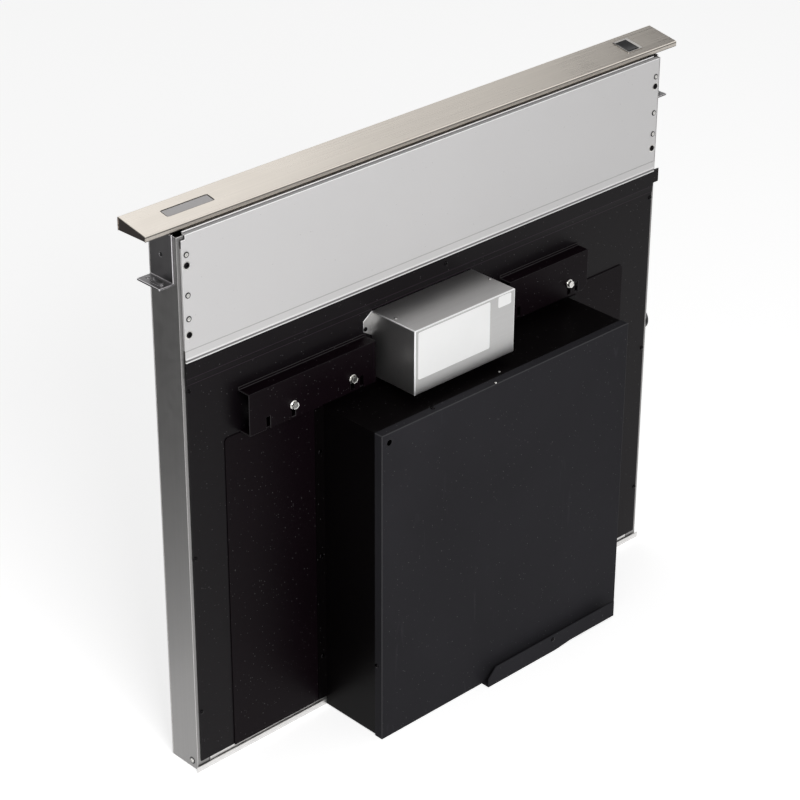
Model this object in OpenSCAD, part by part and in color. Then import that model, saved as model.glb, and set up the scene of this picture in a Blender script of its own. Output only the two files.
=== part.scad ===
// Retractable downdraft vent: a slim case that stands behind a cooktop, with a
// riser that lifts out of its top and a blower box on its room side.
// Millimetres. X runs along the cap, Y from the room side to the back, Z up.
// The origin is under the middle of the whole unit, on the plane it stands on.

/* [Top cap] */
// Length of the cap along the worktop
cap_width = 762; // [740:1:920]
// Depth of the cap from its front lip to its back lip
cap_depth = 42.2; // [40:0.1:60]
// Height of the cap's back lip
cap_back_lip = 14.8; // [14:0.1:20]
// Height of the cap's front lip
cap_front_lip = 6; // [4:0.1:7]
// Fall of the cap's top from back to front
cap_fall = 7.8; // [5:0.1:8.5]
// Thickness of the cap's sheet
cap_sheet = 0.9; // [0.7:0.1:1.2]
// Distance from the case's front plane back to the cap's centre line
cap_setback = 27.9; // [26:0.1:32]
// Gap between the case's top edge and the cap's back lip at rest
cap_gap = 1.2; // [0.6:0.1:3]
// Length of the badge plate
badge_length = 59; // [40:1:90]
// Width of the badge plate across the cap
badge_width = 12; // [8:0.5:16]
// Distance from the cap's left end to the badge plate's centre
badge_inset = 70; // [60:1:90]
// Distance from the cap's right end to the switch's centre
switch_inset = 59; // [56:1:70]
// Length of the switch bezel along the cap
bezel_length = 24; // [22:0.5:30]
// Width of the switch bezel across the cap
bezel_width = 25.5; // [25:0.5:28]
// Length of the rocker along the cap
rocker_length = 16.5; // [12:0.5:18]
// Width of the rocker across the cap
rocker_width = 19.7; // [14:0.1:20]

/* [Riser] */
// Travel of the riser
lift_travel = 240; // [200:1:250]
// Gap between the riser and each side of the case
riser_side_gap = 14.7; // [14.7:0.1:26]
// Depth of the riser
riser_depth = 32.6; // [28:0.1:33]
// Distance from the case's front plane back to the riser's front
riser_setback = 8.4; // [7.8:0.1:9]
// Thickness of the riser's sheet
riser_sheet = 0.9; // [0.7:0.1:1.2]
// Length of riser that stays inside the case when it is up
riser_overlap = 30; // [25:1:40]
// Number of intake windows, each with one filter
window_count = 2; // [1:1:4]
// Height of the sill under the intake windows, above the worktop
window_sill = 18; // [12:1:40]
// Height of the band over the intake windows
window_head = 20; // [16:1:40]
// Width of the frame at each end of the intake windows
window_margin = 30; // [24:1:60]
// Width of the bar between two windows
window_bar = 20; // [12:1:40]
// Thickness of a grease filter
filter_thickness = 8.5; // [6:0.5:10]
// Gap round a filter in its window
filter_gap = 0.5; // [0.3:0.1:1]
// Number of mesh openings along a filter
mesh_columns = 18; // [8:1:20]
// Number of mesh openings up a filter
mesh_rows = 12; // [6:1:14]

/* [Case] */
// Reach of the cap past each side of the case
cap_overhang = 32.3; // [28:0.1:34]
// Depth of the case
case_depth = 44.3; // [43.6:0.1:50]
// Thickness of the case's galvanised sheet
case_sheet = 1; // [0.8:0.1:1.2]
// Thickness of the black front sheets
front_sheet = 1.2; // [1:0.1:1.5]
// Distance from each side of the case to the front panels
front_inset = 4.2; // [3.7:0.1:8]
// Height of the grey upper front panel
grey_height = 137.8; // [110:1:160]
// Height of the black header band
header_height = 18; // [14:1:24]
// Height of the header band's lower step
header_step = 7; // [4:0.5:10]
// Gap under the black front panel
front_bottom_gap = 11.8; // [10:0.1:16]
// Height of the bottom pan's front lip
pan_lip = 6.6; // [4:0.1:8]
// Distance from each end of the front panels to the blower's mount plate
mount_inset = 46; // [25:0.5:60]
// Distance from the case's floor to the mount plate's lower edge
mount_plate_bottom = 10.8; // [8:0.1:16]
// Height of the support rails
rail_height = 48; // [36:1:60]
// Depth of the support rails
rail_depth = 17.1; // [12:0.1:24]
// Height of the support rails' lower edge above the control box's
rail_rise = 1.2; // [0.9:0.1:10]
// Width of a worktop bracket
bracket_width = 34.4; // [24:0.1:36]
// Reach of a worktop bracket's shelf from the case
bracket_reach = 19.3; // [16:0.1:30]
// Distance from the case's top down to the bracket's shelf
bracket_drop = 51; // [40:1:80]
// Thickness of a worktop bracket
bracket_sheet = 2; // [1.5:0.1:3]

/* [Control box] */
// Width of the control box
control_width = 147.7; // [130:1:150]
// Height of the control box
control_height = 74.9; // [60:0.1:76]
// Depth of the control box
control_depth = 66.3; // [56:0.1:80]
// Distance of the control box's centre left of the case's centre
control_offset = 22; // [15:1:25]
// Gap between the blower box and the control box
control_gap = 11; // [10.4:0.1:16]
// Gap between the control box and the header band
header_gap = 1.76; // [1:0.01:8]

/* [Blower box] */
// Width of the blower box
blower_width = 375.3; // [370:1:390]
// Height of the blower box
blower_height = 379.1; // [375:1:380]
// Depth of the blower box
blower_depth = 92.1; // [90:1:110]
// Distance of the blower box's centre right of the case's centre
blower_offset = 21; // [10:1:30]
// Thickness of the blower box's sheet
blower_sheet = 1; // [0.8:0.1:1.5]
// Radius of the blower wheel
wheel_radius = 99; // [85:1:102]
// Width of the blower wheel
wheel_width = 56; // [50:1:58]
// Number of wheel blades
blade_count = 36; // [20:1:48]
// Distance of the wheel's axis right of the case's centre
wheel_x = 5; // [0:1:12]
// Height of the wheel's axis
wheel_z = 200; // [196:1:206]
// Width of the outlet
outlet_width = 190; // [170:1:192]
// Depth of the outlet
outlet_depth = 82; // [70:1:84]
// Distance of the outlet's left edge left of the case's centre
outlet_inset = 3.5; // [2:0.5:6]
// Reach of the outlet plate in front of the blower box
outlet_reach = 10.5; // [8:0.5:16]
// Height of the outlet plate's front flange
outlet_flange = 22.5; // [16:0.5:30]

/* [Lift] */
// Distance of the lead screw left of the case's centre
screw_offset = 200; // [180:1:220]
// Radius of the lead screw over its thread
screw_radius = 5; // [4:0.5:6]
// Height of the cross bar's lower face above the floor at rest
crossbar_bottom = 64; // [62:1:80]
// Height of the cross bar
crossbar_height = 20; // [16:1:24]
// Radius of the lift motor
lift_motor_radius = 13.5; // [10:0.5:13.5]
// Length of the lift motor
lift_motor_length = 92; // [60:1:110]

/* [Hidden] */

// Finishes as the photograph shows them
stainless = [0.80, 0.77, 0.73];
stainless_dark = [0.42, 0.40, 0.38];
galvanised = [0.62, 0.63, 0.64];
grey_paint = [0.76, 0.76, 0.75];
black_coat = [0.15, 0.145, 0.155];
black_plastic = [0.08, 0.08, 0.09];
zinc_bright = [0.80, 0.80, 0.78];
aluminium = [0.75, 0.76, 0.77];
label_white = [0.93, 0.93, 0.92];
board_green = [0.13, 0.33, 0.20];
motor_grey = [0.35, 0.36, 0.38];
nylon = [0.86, 0.85, 0.80];
brass = [0.76, 0.62, 0.33];

// Roundness, and one overrun for every cut
$fn = 48;
over = 0.5;
seat = 0.05;
turn_gap = 0.05;
screw_gap = 0.1;
head_height = 1.2;

// Whole unit
case_width = cap_width - cap_overhang * 2;
riser_width = case_width - riser_side_gap * 2;
front_width = case_width - front_inset * 2;
mount_plate_width = front_width - mount_inset * 2;
control_bottom = blower_height + control_gap;
control_top = control_bottom + control_height;
control_middle = control_bottom + control_height / 2;
header_top = control_top + header_gap + header_step + header_height;
grey_bottom = header_top + 0.2 * front_sheet;
case_height = grey_bottom + grey_height;
front_reach = blower_depth + outlet_reach;
back_reach = cap_setback + cap_depth / 2;
front_y = (front_reach + head_height - back_reach) / 2;
cap_bottom = case_height + cap_gap;
total_height = cap_bottom + cap_back_lip;
cap_front_y = cap_setback - cap_depth / 2;
cap_back_y = cap_setback + cap_depth / 2;
cap_front_bottom = total_height - cap_fall - cap_front_lip;
cap_angle = atan(cap_fall / cap_depth);
cap_skin = cap_sheet / cos(cap_angle);
badge_x = -cap_width / 2 + badge_inset;
switch_x = cap_width / 2 - switch_inset;

// Badge plate and switch
badge_shift = 1;
badge_sink = 0.4;
badge_rim = 2;
badge_sheet = 0.8;
end_inset = 0.4;
bezel_rise = 0.8;
bezel_wall = 1.3;
bezel_body_height = 12;
rocker_side_gap = 0.3;
rocker_end_gap = 0.8;
rocker_rise = 0.6;
rocker_dip = 0.9;
rocker_skirt = 4.5;
rocker_pivot_depth = 3.5;
rocker_pin_radius = 1;
rocker_pin_reach = 0.7;
terminal_width = 6;
terminal_sheet = 0.8;
terminal_height = 6;
terminal_pitch = 6;
clip_sheet = 1.5;
clip_rise = 4;
clip_tab = 12;
clip_gap = 0.2;
clip_shares = [-0.33, 0, 0.33];

// Riser
riser_back_y = riser_setback + riser_depth;
riser_middle_y = riser_setback + riser_depth / 2;
riser_panel_bottom = case_height - lift_travel - riser_overlap;
riser_top_gap = 0.4;
riser_flange = 8;
leg_sheet = 1;
leg_flange = 13;
leg_bottom = crossbar_bottom - leg_sheet * 4;
leg_top = case_height - leg_flange;
window_bottom = case_height - lift_travel + window_sill;
window_top = case_height - window_head;
window_bars = window_bar * (window_count - 1);
window_width = (riser_width - window_margin * 2 - window_bars) / window_count;
collar_sheet = 0.6;
ledge = 4;
filter_rim = 11;
mesh_bar = 1.2;
mesh_sheet = 0.8;
tab_width = 26;
tab_height = 9;
tab_sheet = 1;

// Case
inner_back_y = case_depth - case_sheet;
side_flange = 16;
pan_sheet = 1;
side_bottom = pan_sheet;
rib_height = 1.1;
rib_width = 12;
rib_margin = 60;
rib_shares = [0.14, 0.38, 0.62, 0.86];
grey_hem = 14;
grey_return = 5.5;
grey_upturn = 3.2;
grey_notch = 5;
grey_crease_height = 13.6;
grey_crease = 0.35;
grey_edge = 4.5;
header_tab_reach = 8.6;
header_tab_height = 16;
header_tab_rise = 2;
step_sheet = front_sheet / 2;
front_panel_top = header_top - header_tab_rise * 2;
edge_screw_shares = [0.119, 0.422, 0.73];
edge_screw_inset = 6.7;
grey_screw_shares = [0.236, 0.78];
grey_hole_shares = [0.152, 0.468, 0.653];
grey_screw_inset = 9.7;
grey_hole_radius = 2.3;
header_screw_x = 12;
header_screw_drop = 7;
small_head_radius = 2.6;
grey_head_radius = 3.4;
shank_radius = 1.9;
shank_length = 5;
pan_wall = 22;
pan_lip_reach = 2.3;
pan_side_wall = 16;
side_screw_height = 9.8;
side_screw_depth = 10.4;
pan_screw_share = -0.336;
mount_chamfer = 3;
mount_plate_top = control_bottom;
wire_hole_radius = 12;

// Support rails and their bolts
rail_sheet = 1.5;
rail_bottom = control_bottom + rail_rise;
rail_end_inset = 19.5;
rail_left_outer = mount_plate_width / 2 - rail_end_inset;
rail_left_inner = 105;
rail_right_inner = 96;
rail_right_outer = 221;
rail_foot = 3;
rail_corner = 6;
rail_bolt_height = 15.5;
left_bolt_shares = [0.339, 0.81];
left_slot_shares = [0.144, 0.885];
right_bolt_shares = [0.76];
right_slot_shares = [0.116, 0.858];
rail_slot_width = 5.4;
rail_slot_height = 14.2;
keyhole_width = 5.4;
keyhole_drop = 13.5;
bolt_shank_radius = 2.2;
bolt_hole_radius = 2.3;
bolt_head_radius = 4.2;
bolt_head_height = 3.2;
washer_radius = 4.9;
washer_height = 1.2;
nut_height = 3;

// Worktop brackets
bracket_setback = 5.9;
bracket_top_gap = 0.6;
bracket_hole_radius = 2.6;
bracket_hole_drop = 25.2;
boss_width = 8;
boss_length = 18;
boss_height = 2.5;
boss_slot_width = 4.4;
boss_inset = 13;
boss_from_case = 10.8;
stud_hole_radius = 2.2;
stud_hole_inset = 6.5;

// Guides, bumpers and seals
guide_sheet = 1.2;
guide_depth = 11;
guide_half = 11;
guide_bottom = 40;
guide_top_gap = 8;
glide_height = 40;
glide_gap = 0.4;
glide_side_gap = 0.3;
upper_glide_lift = 266;
bumper_gap = 0.3;
seal_height = 10;
seal_gap = 0.4;

// Side plug
plug_radius = 14;
plug_height = 297.8;
plug_setback = 14.2;
plug_rise = 5;
plug_neck_radius = 11;
plug_neck = case_sheet;
plug_dome = 2;

// Control box
control_sheet = 1;
control_left = -control_offset - control_width / 2;
control_right = -control_offset + control_width / 2;
control_ear = 11.5;
control_ear_height = 28.6;
ear_cuts = [8.8, 7.3];
ear_screw_inset = 9;
ear_screw_drop = 18.4;
ear_screw_x = control_left - ear_screw_inset;
ear_screw_z = control_top - ear_screw_drop;
board_inset = 12;
board_sheet = 1.6;
board_height = 56;
standoff_height = 6;
standoff_radius = 3;
transformer_width = 34;
transformer_depth = 26;
transformer_height = 30;
relay_width = 12;
relay_depth = 15;
relay_height = 18;
relay_count = 3;
relay_pitch = 16;
block_width = 30;
block_depth = 10;
block_height = 10;
capacitor_radius = 12;
capacitor_length = 42;
capacitor_clip = 2;
label_sheet = 0.15;
label_left_inset = 4.8;
label_width = 105.5;
label_height = 55;
label_drop = 3.2;
small_label_width = 19.5;
small_label_height = 13;
small_label_inset = 5.9;
small_label_drop = 2.2;
bushing_radius = 11;
bushing_bore = 7.5;
bushing_neck_radius = 9.5;
bushing_rise = 4;
bushing_neck = 3;
bushing_depth = 38;

// Blower box
blower_left = blower_offset - blower_width / 2;
blower_right = blower_offset + blower_width / 2;
plate_front_y = -front_sheet;
shell_back_y = plate_front_y - blower_sheet;
cover_back_y = blower_sheet - blower_depth;
shell_left = blower_left + blower_sheet;
shell_right = blower_right - blower_sheet;
shell_top = blower_height - blower_sheet;
rear_flange = 12;
rear_flange_top = 9;
flange_screw_shares = [0.18, 0.52, 0.86];
cover_return = 11;
cover_notch_gap = 0.5;
cover_hole_radius = 3.5;
cover_hole_inset = 10.7;
cover_hole_drop = 11.3;
box_screw_height = 93.2;
box_screw_depth = 7.8;
box_screw_shares = [0.213];
dot_radius = 1.4;
dot_height = 0.6;
dot_shares = [[0.505, 0.2], [0.447, 0.025]];

// Outlet, scroll and damper
outlet_left = -outlet_inset;
outlet_right = outlet_left + outlet_width;
outlet_sheet = 1.2;
outlet_side = 8.5;
outlet_front_gap = 4;
outlet_chamfer = 12;
outlet_kink = 2.5;
outlet_relief = 4;
outlet_kink_shares = [0.53, 0.645];
outlet_screw_share = 0.5;
outlet_screw_height = 16.7;
outlet_hole_inset = 4.2;
outlet_hole_radius = 2;
scroll_sheet = 1;
scroll_end_gap = 0.3;
tongue_gap = 7;
tongue_turn = 10;
scroll_steps = 26;
scroll_start = wheel_radius + tongue_gap;
scroll_end = outlet_right - wheel_x;
tongue_height = wheel_z - wheel_radius - tongue_gap - 10 * scroll_sheet;
damper_sheet = 0.8;
damper_gap = 1.6;
damper_rim = 8;
damper_drop = 1.2;
damper_barrel = 3;
damper_pin_radius = 1.5;
damper_back_inset = 6;
damper_ear = 1.2;
damper_ear_gap = 0.4;
damper_tail = 5;

// Wheel, motor and inlet
inlet_gap = 11;
wheel_ring_width = 5;
wheel_ring_sheet = 2;
wheel_disc = 1.2;
blade_inner_share = 0.81;
blade_outer_share = 0.975;
blade_sheet = 1;
blade_sweep = 8;
blade_steps = 4;
cup_gap = 6;
cup_depth = 34;
hub_radius = 10;
hub_length = 13;
hub_gap = 1;
shaft_radius = 4;
motor_radius = 44;
motor_cap_radius = 30;
motor_front_gap = 3;
motor_rear_gap = 5;
mount_ring = 6;
mount_thickness = 4;
mount_arm_width = 14;
mount_arm_reach = 34;
inlet_throat_share = 0.76;
inlet_mouth_share = 0.86;
inlet_sheet = 1;
inlet_panel_gap = 4;

// Lift drive
gearbox_width = 38;
gearbox_depth = 28;
gearbox_bottom = 12;
gearbox_height = 38;
screw_y = inner_back_y - gearbox_depth / 2;
journal_radius = 4;
journal_depth = 26;
thrust_radius = 7;
thrust_height = 1.6;
thrust_gap = 0.3;
bearing_size = 24;
bearing_height = 12;
bearing_gap = 14;
crossbar_sheet = 1.2;
crossbar_depth = 18;
nut_radius = 9.5;
nut_flange = 26;
nut_flange_height = 3.4;
crossbar_hole_gap = 0.3;
bracket_leg = 1.2;
motor_support_gap = 0.1;
switch_block = 18;
switch_depth = 9;
limit_switch_inset = 38;
limit_gap = 4;
lever_radius = 1.5;

crossbar_front = screw_y - crossbar_depth / 2;
gearbox_top = gearbox_bottom + gearbox_height;
nut_top_raised = crossbar_bottom + crossbar_height + lift_travel;
bearing_bottom = nut_top_raised + bearing_gap;
drive_x = -screw_offset;
lift_motor_z = gearbox_bottom + gearbox_height / 2;

// A block between two corners, given axis by axis
module block(x0, x1, y0, y1, z0, z1)
    translate([x0, y0, z0]) cube([x1 - x0, y1 - y0, z1 - z0]);

// Round bars along each axis
module bar_x(y, z, r, x0, x1)
    translate([x0, y, z]) rotate([0, 90, 0]) cylinder(r = r, h = x1 - x0);
module bar_y(x, z, r, y0, y1)
    translate([x, y1, z]) rotate([90, 0, 0]) cylinder(r = r, h = y1 - y0);
module bar_z(x, y, r, z0, z1)
    translate([x, y, z0]) cylinder(r = r, h = z1 - z0);

// Moves a piece that is drawn from the case's front plane to its place
module placed() translate([0, front_y, 0]) children();

// The plane of the cap's sloping top, with its origin on the centre line
module on_cap(x)
    translate([x, cap_setback, total_height - cap_fall / 2])
        rotate([cap_angle, 0, 0]) children();

// A slab drawn face on, from one y to another
module front_slab(y0, y1)
    translate([0, y1, 0]) rotate([90, 0, 0]) linear_extrude(y1 - y0) children();

// A profile drawn in Y and Z, run along X
module along_x(x0, x1)
    translate([x0, 0, 0]) rotate([90, 0, 90]) linear_extrude(x1 - x0) children();

// A pan head screw whose head lies on a face that looks to the room
module front_screw(x, z, y, head) {
    bar_y(x, z, head, y - head_height, y);
    bar_y(x, z, shank_radius, y - seat, y + shank_length);
}

// Centre of one intake window
function window_x(i) =
    -riser_width / 2 + window_margin + window_width / 2 + i * (window_width + window_bar);

// Height of the cap's inside face at a depth
function under_cap(y) =
    total_height - cap_fall * (cap_back_y - y) / cap_depth - cap_skin;
riser_front_top = under_cap(riser_setback) - riser_top_gap;

// Heights of the screws along the edges of the black front panel
function edge_screw_z(i) = case_height * edge_screw_shares[i];
function grey_z(share) = case_height - grey_height * share;
edge_screw_x = case_width / 2 - edge_screw_inset;
grey_screw_x = case_width / 2 - grey_screw_inset;

// Places of the rail bolts
function left_rail_x(share) = -rail_left_outer + (rail_left_outer - rail_left_inner) * share;
function right_rail_x(share) = rail_right_inner + (rail_right_outer - rail_right_inner) * share;
rail_bolt_z = rail_bottom + rail_bolt_height;
rail_bolt_xs = concat(
    [for (s = left_bolt_shares) left_rail_x(s)],
    [for (s = right_bolt_shares) right_rail_x(s)]
);

// Cap

module cap_outline() polygon([
    [cap_back_y, cap_bottom], [cap_back_y, total_height],
    [cap_front_y, total_height - cap_fall], [cap_front_y, cap_front_bottom],
    [cap_front_y + cap_sheet, cap_front_bottom],
    [cap_front_y + cap_sheet, under_cap(cap_front_y + cap_sheet)],
    [cap_back_y - cap_sheet, under_cap(cap_back_y - cap_sheet)],
    [cap_back_y - cap_sheet, cap_bottom]
]);

module top_cap() color(stainless) placed() difference() {
    along_x(-cap_width / 2, cap_width / 2) cap_outline();
    on_cap(badge_x) block(
        -badge_length / 2, badge_length / 2,
        badge_shift - badge_width / 2, badge_shift + badge_width / 2,
        -cap_sheet - over, over);
    on_cap(switch_x) block(
        -bezel_length / 2 + bezel_wall, bezel_length / 2 - bezel_wall,
        -bezel_width / 2 + bezel_wall / 2, bezel_width / 2 - bezel_wall / 2,
        -cap_sheet - over, over);
}

module cap_end(side) {
    x = side * (cap_width / 2 - end_inset - cap_sheet / 2);
    color(stainless_dark) placed()
        along_x(x - cap_sheet / 2, x + cap_sheet / 2) polygon([
            [cap_back_y - cap_sheet, cap_bottom + seat],
            [cap_back_y - cap_sheet, under_cap(cap_back_y - cap_sheet)],
            [cap_front_y + cap_sheet, under_cap(cap_front_y + cap_sheet)],
            [cap_front_y + cap_sheet, cap_front_bottom + seat]
        ]);
}

module cap_end_left() cap_end(-1);
module cap_end_right() cap_end(1);

// Welded clips that carry the cap between the riser's front and back
module cap_clips() color(galvanised) placed()
    for (share = clip_shares) {
        x = riser_width * share;
        y0 = riser_setback + riser_sheet;
        y1 = riser_back_y - riser_sheet;
        y_step = riser_setback + riser_flange + seat;
        z0 = window_top + collar_sheet + clip_rise;
        z_step = riser_front_top - riser_sheet;
        along_x(x, x + clip_sheet) polygon([
            [y0, z0], [y1, z0], [y1, under_cap(y1) - clip_gap],
            [y_step, under_cap(y_step) - clip_gap], [y_step, z_step], [y0, z_step]
        ]);
        along_x(x, x + clip_tab) polygon([
            [y_step, under_cap(y_step) - clip_gap - clip_sheet],
            [y1, under_cap(y1) - clip_gap - clip_sheet],
            [y1, under_cap(y1) - clip_gap], [y_step, under_cap(y_step) - clip_gap]
        ]);
    }

module badge_plate() color(stainless_dark) placed() on_cap(badge_x) {
    block(-badge_length / 2 + seat, badge_length / 2 - seat,
          badge_shift - badge_width / 2 + seat, badge_shift + badge_width / 2 - seat,
          -cap_sheet - badge_sheet / 2, -badge_sink);
    block(-badge_length / 2 - badge_rim, badge_length / 2 + badge_rim,
          badge_shift - badge_width / 2 - badge_rim, badge_shift + badge_width / 2 + badge_rim,
          -cap_sheet - badge_sheet, -cap_sheet - seat / 2);
}

// Frame and body of the switch, with the well that the rocker tilts in
module switch_bezel() {
    well_length = rocker_length / 2 + rocker_side_gap;
    well_width = rocker_width / 2 + rocker_end_gap;
    body_length = bezel_length / 2 - bezel_wall - seat;
    body_width = bezel_width / 2 - bezel_wall / 2 - seat;
    color(black_plastic) placed() on_cap(switch_x) {
        difference() {
            union() {
                block(-bezel_length / 2, bezel_length / 2, -bezel_width / 2, bezel_width / 2,
                      0, bezel_rise);
                block(-body_length, body_length, -body_width, body_width,
                      -bezel_body_height, seat);
            }
            block(-well_length, well_length, -well_width, well_width,
                  -bezel_body_height + bezel_wall, bezel_rise + over);
            bar_x(0, -rocker_pivot_depth, rocker_pin_radius + turn_gap,
                  -well_length - bezel_wall, well_length + bezel_wall);
        }
        for (i = [-1, 0, 1])
            block(-terminal_width / 2, terminal_width / 2,
                  i * terminal_pitch, i * terminal_pitch + terminal_sheet,
                  -bezel_body_height - terminal_height, -bezel_body_height);
    }
}

// Rocker with a shallow valley between its two ends
module rocker_switch() color(black_plastic) placed() on_cap(switch_x) {
    along_x(-rocker_length / 2, rocker_length / 2) polygon([
        [-rocker_width / 2, -rocker_pivot_depth], [-rocker_width / 2, rocker_rise],
        [0, rocker_rise - rocker_dip], [rocker_width / 2, rocker_rise],
        [rocker_width / 2, -rocker_pivot_depth],
        [rocker_width / 4, -rocker_pivot_depth - rocker_skirt],
        [-rocker_width / 4, -rocker_pivot_depth - rocker_skirt]
    ]);
    bar_x(0, -rocker_pivot_depth, rocker_pin_radius,
          -rocker_length / 2 - rocker_pin_reach, rocker_length / 2 + rocker_pin_reach);
}

// Riser

module riser_front() color(stainless) placed() {
    y0 = riser_setback;
    y1 = riser_setback + riser_sheet;
    collar_y = y0 + filter_thickness + filter_gap;
    top = riser_front_top;
    difference() {
        block(-riser_width / 2, riser_width / 2, y0, y1, riser_panel_bottom, top);
        for (i = [0 : window_count - 1])
            block(window_x(i) - window_width / 2, window_x(i) + window_width / 2,
                  y0 - over, y1 + over, window_bottom, window_top);
    }
    block(-riser_width / 2 + leg_flange, riser_width / 2 - leg_flange * 3,
          y0, y0 + riser_flange, top - riser_sheet, top);
    for (i = [0 : window_count - 1]) difference() {
        block(window_x(i) - window_width / 2 - collar_sheet,
              window_x(i) + window_width / 2 + collar_sheet,
              y1 - seat, collar_y + collar_sheet,
              window_bottom - collar_sheet, window_top + collar_sheet);
        block(window_x(i) - window_width / 2, window_x(i) + window_width / 2,
              y0 - over, collar_y, window_bottom, window_top);
        block(window_x(i) - window_width / 2 + ledge, window_x(i) + window_width / 2 - ledge,
              y0, collar_y + collar_sheet + over, window_bottom + ledge, window_top - ledge);
    }
}

module riser_back() color(stainless) placed() {
    y1 = riser_back_y;
    top = under_cap(y1 - riser_sheet) - riser_top_gap;
    notch = bezel_length / 2 + bezel_wall;
    difference() {
        block(-riser_width / 2, riser_width / 2, y1 - riser_sheet, y1, riser_panel_bottom, top);
        block(switch_x - notch, riser_width / 2 + over, y1 - riser_sheet - over, y1 + over,
              case_height - riser_flange, top + over);
    }
}

// Folded side leg of the riser, from the cross bar to the cap
module riser_side(side) {
    outer = riser_width / 2;
    y0 = riser_setback + riser_sheet;
    y1 = riser_back_y - riser_sheet;
    color(stainless) placed() mirror([side < 0 ? 1 : 0, 0, 0]) difference() {
        block(outer - leg_flange, outer, y0, y1, leg_bottom, leg_top);
        block(outer - leg_flange - over, outer - leg_sheet, y0 + leg_sheet, y1 - leg_sheet,
              leg_bottom - over, leg_top + over);
    }
}

module riser_side_left() riser_side(-1);
module riser_side_right() riser_side(1);

// Framed mesh filter that drops into one intake window
module grease_filter(i) {
    half = window_width / 2 - filter_gap;
    z0 = window_bottom + filter_gap;
    z1 = window_top - filter_gap;
    y0 = riser_setback;
    y1 = y0 + filter_thickness;
    mesh_y = y0 + filter_thickness / 4;
    mesh_width = (half - filter_rim) * 2;
    mesh_height = z1 - z0 - filter_rim * 2;
    color(aluminium) placed() translate([window_x(i), 0, 0]) {
        difference() {
            block(-half, half, y0, y1, z0, z1);
            block(-half + filter_rim, half - filter_rim, y0 - over, y1 + over,
                  z0 + filter_rim, z1 - filter_rim);
        }
        for (c = [1 : mesh_columns - 1]) {
            x = -mesh_width / 2 + mesh_width * c / mesh_columns;
            block(x - mesh_bar / 2, x + mesh_bar / 2, mesh_y, mesh_y + mesh_sheet,
                  z0 + filter_rim - seat, z1 - filter_rim + seat);
        }
        for (r = [1 : mesh_rows - 1]) {
            z = z0 + filter_rim + mesh_height * r / mesh_rows;
            block(-mesh_width / 2 - seat, mesh_width / 2 + seat,
                  mesh_y, mesh_y + mesh_sheet, z - mesh_bar / 2, z + mesh_bar / 2);
        }
        block(-tab_width / 2, tab_width / 2, y0, y0 + tab_sheet,
              z1 - filter_rim - tab_height, z1 - filter_rim + seat);
    }
}

module grease_filter_left() grease_filter(0);
module grease_filter_right() grease_filter(window_count - 1);

// Channel across the riser's legs that carries the nut
module lift_crossbar() color(galvanised) placed() {
    half = riser_width / 2 - leg_sheet;
    z0 = crossbar_bottom;
    z1 = z0 + crossbar_height;
    y0 = crossbar_front;
    y1 = y0 + crossbar_depth;
    difference() {
        block(-half, half, y0, y1, z0, z1);
        block(-half - over, half + over, y0 + crossbar_sheet, y1 + over,
              z0 + crossbar_sheet, z1 - crossbar_sheet);
        bar_z(drive_x, screw_y, nut_radius + crossbar_hole_gap, z0 - over, z1 + over);
    }
}

module lift_nut() color(nylon) placed() difference() {
    union() {
        bar_z(drive_x, screw_y, nut_radius, crossbar_bottom - seat, crossbar_bottom + crossbar_height);
        translate([drive_x, screw_y, crossbar_bottom - nut_flange_height / 2])
            cube([nut_flange, nut_flange - crossbar_sheet, nut_flange_height], center = true);
    }
    bar_z(drive_x, screw_y, screw_radius + turn_gap,
          crossbar_bottom - nut_flange_height - over, crossbar_bottom + crossbar_height + over);
}

// Four nylon blocks on the legs that run in the guide rails
module glide_blocks() {
    x0 = riser_width / 2;
    x1 = case_width / 2 - case_sheet - guide_sheet - glide_gap;
    half = guide_half - guide_sheet - glide_side_gap;
    z0 = leg_bottom + leg_sheet * 4;
    color(nylon) placed() for (side = [0, 1], lift = [0, upper_glide_lift])
        mirror([side, 0, 0])
            block(x0, x1, riser_middle_y - half, riser_middle_y + half,
                  z0 + lift, z0 + lift + glide_height);
}

// Case

module back_panel() color(galvanised) placed() {
    block(-case_width / 2, case_width / 2, inner_back_y, case_depth, side_bottom, case_height);
    for (share = rib_shares)
        block(-case_width / 2 + rib_margin, case_width / 2 - rib_margin,
              case_depth - seat, case_depth + rib_height,
              case_height * share - rib_width / 2, case_height * share + rib_width / 2);
}

// Side channel of the case: web outside, flanges behind the front and back panels
module side_panel(side) {
    half = case_width / 2;
    y0 = front_sheet;
    z1 = case_height - front_sheet;
    color(galvanised) placed() difference() {
        mirror([side < 0 ? 1 : 0, 0, 0]) difference() {
            block(half - side_flange, half, y0, inner_back_y, side_bottom, z1);
            block(half - side_flange - over, half - case_sheet, y0 + case_sheet,
                  inner_back_y - case_sheet, side_bottom - over, z1 + over);
        }
        for (i = [0 : len(edge_screw_shares) - 1])
            bar_y(side * edge_screw_x, edge_screw_z(i), shank_radius + screw_gap,
                  y0 - over, y0 + case_sheet + over);
        for (share = grey_screw_shares)
            bar_y(side * grey_screw_x, grey_z(share), shank_radius + screw_gap,
                  y0 - over, y0 + case_sheet + over);
        bar_x(side_screw_depth, side_screw_height, shank_radius + screw_gap,
              side * half - case_sheet - over, side * half + case_sheet + over);
        if (side > 0)
            bar_x(plug_setback, plug_height, plug_neck_radius + screw_gap,
                  half - case_sheet - over, half + over);
    }
}

module side_panel_left() side_panel(-1);
module side_panel_right() side_panel(1);

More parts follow.
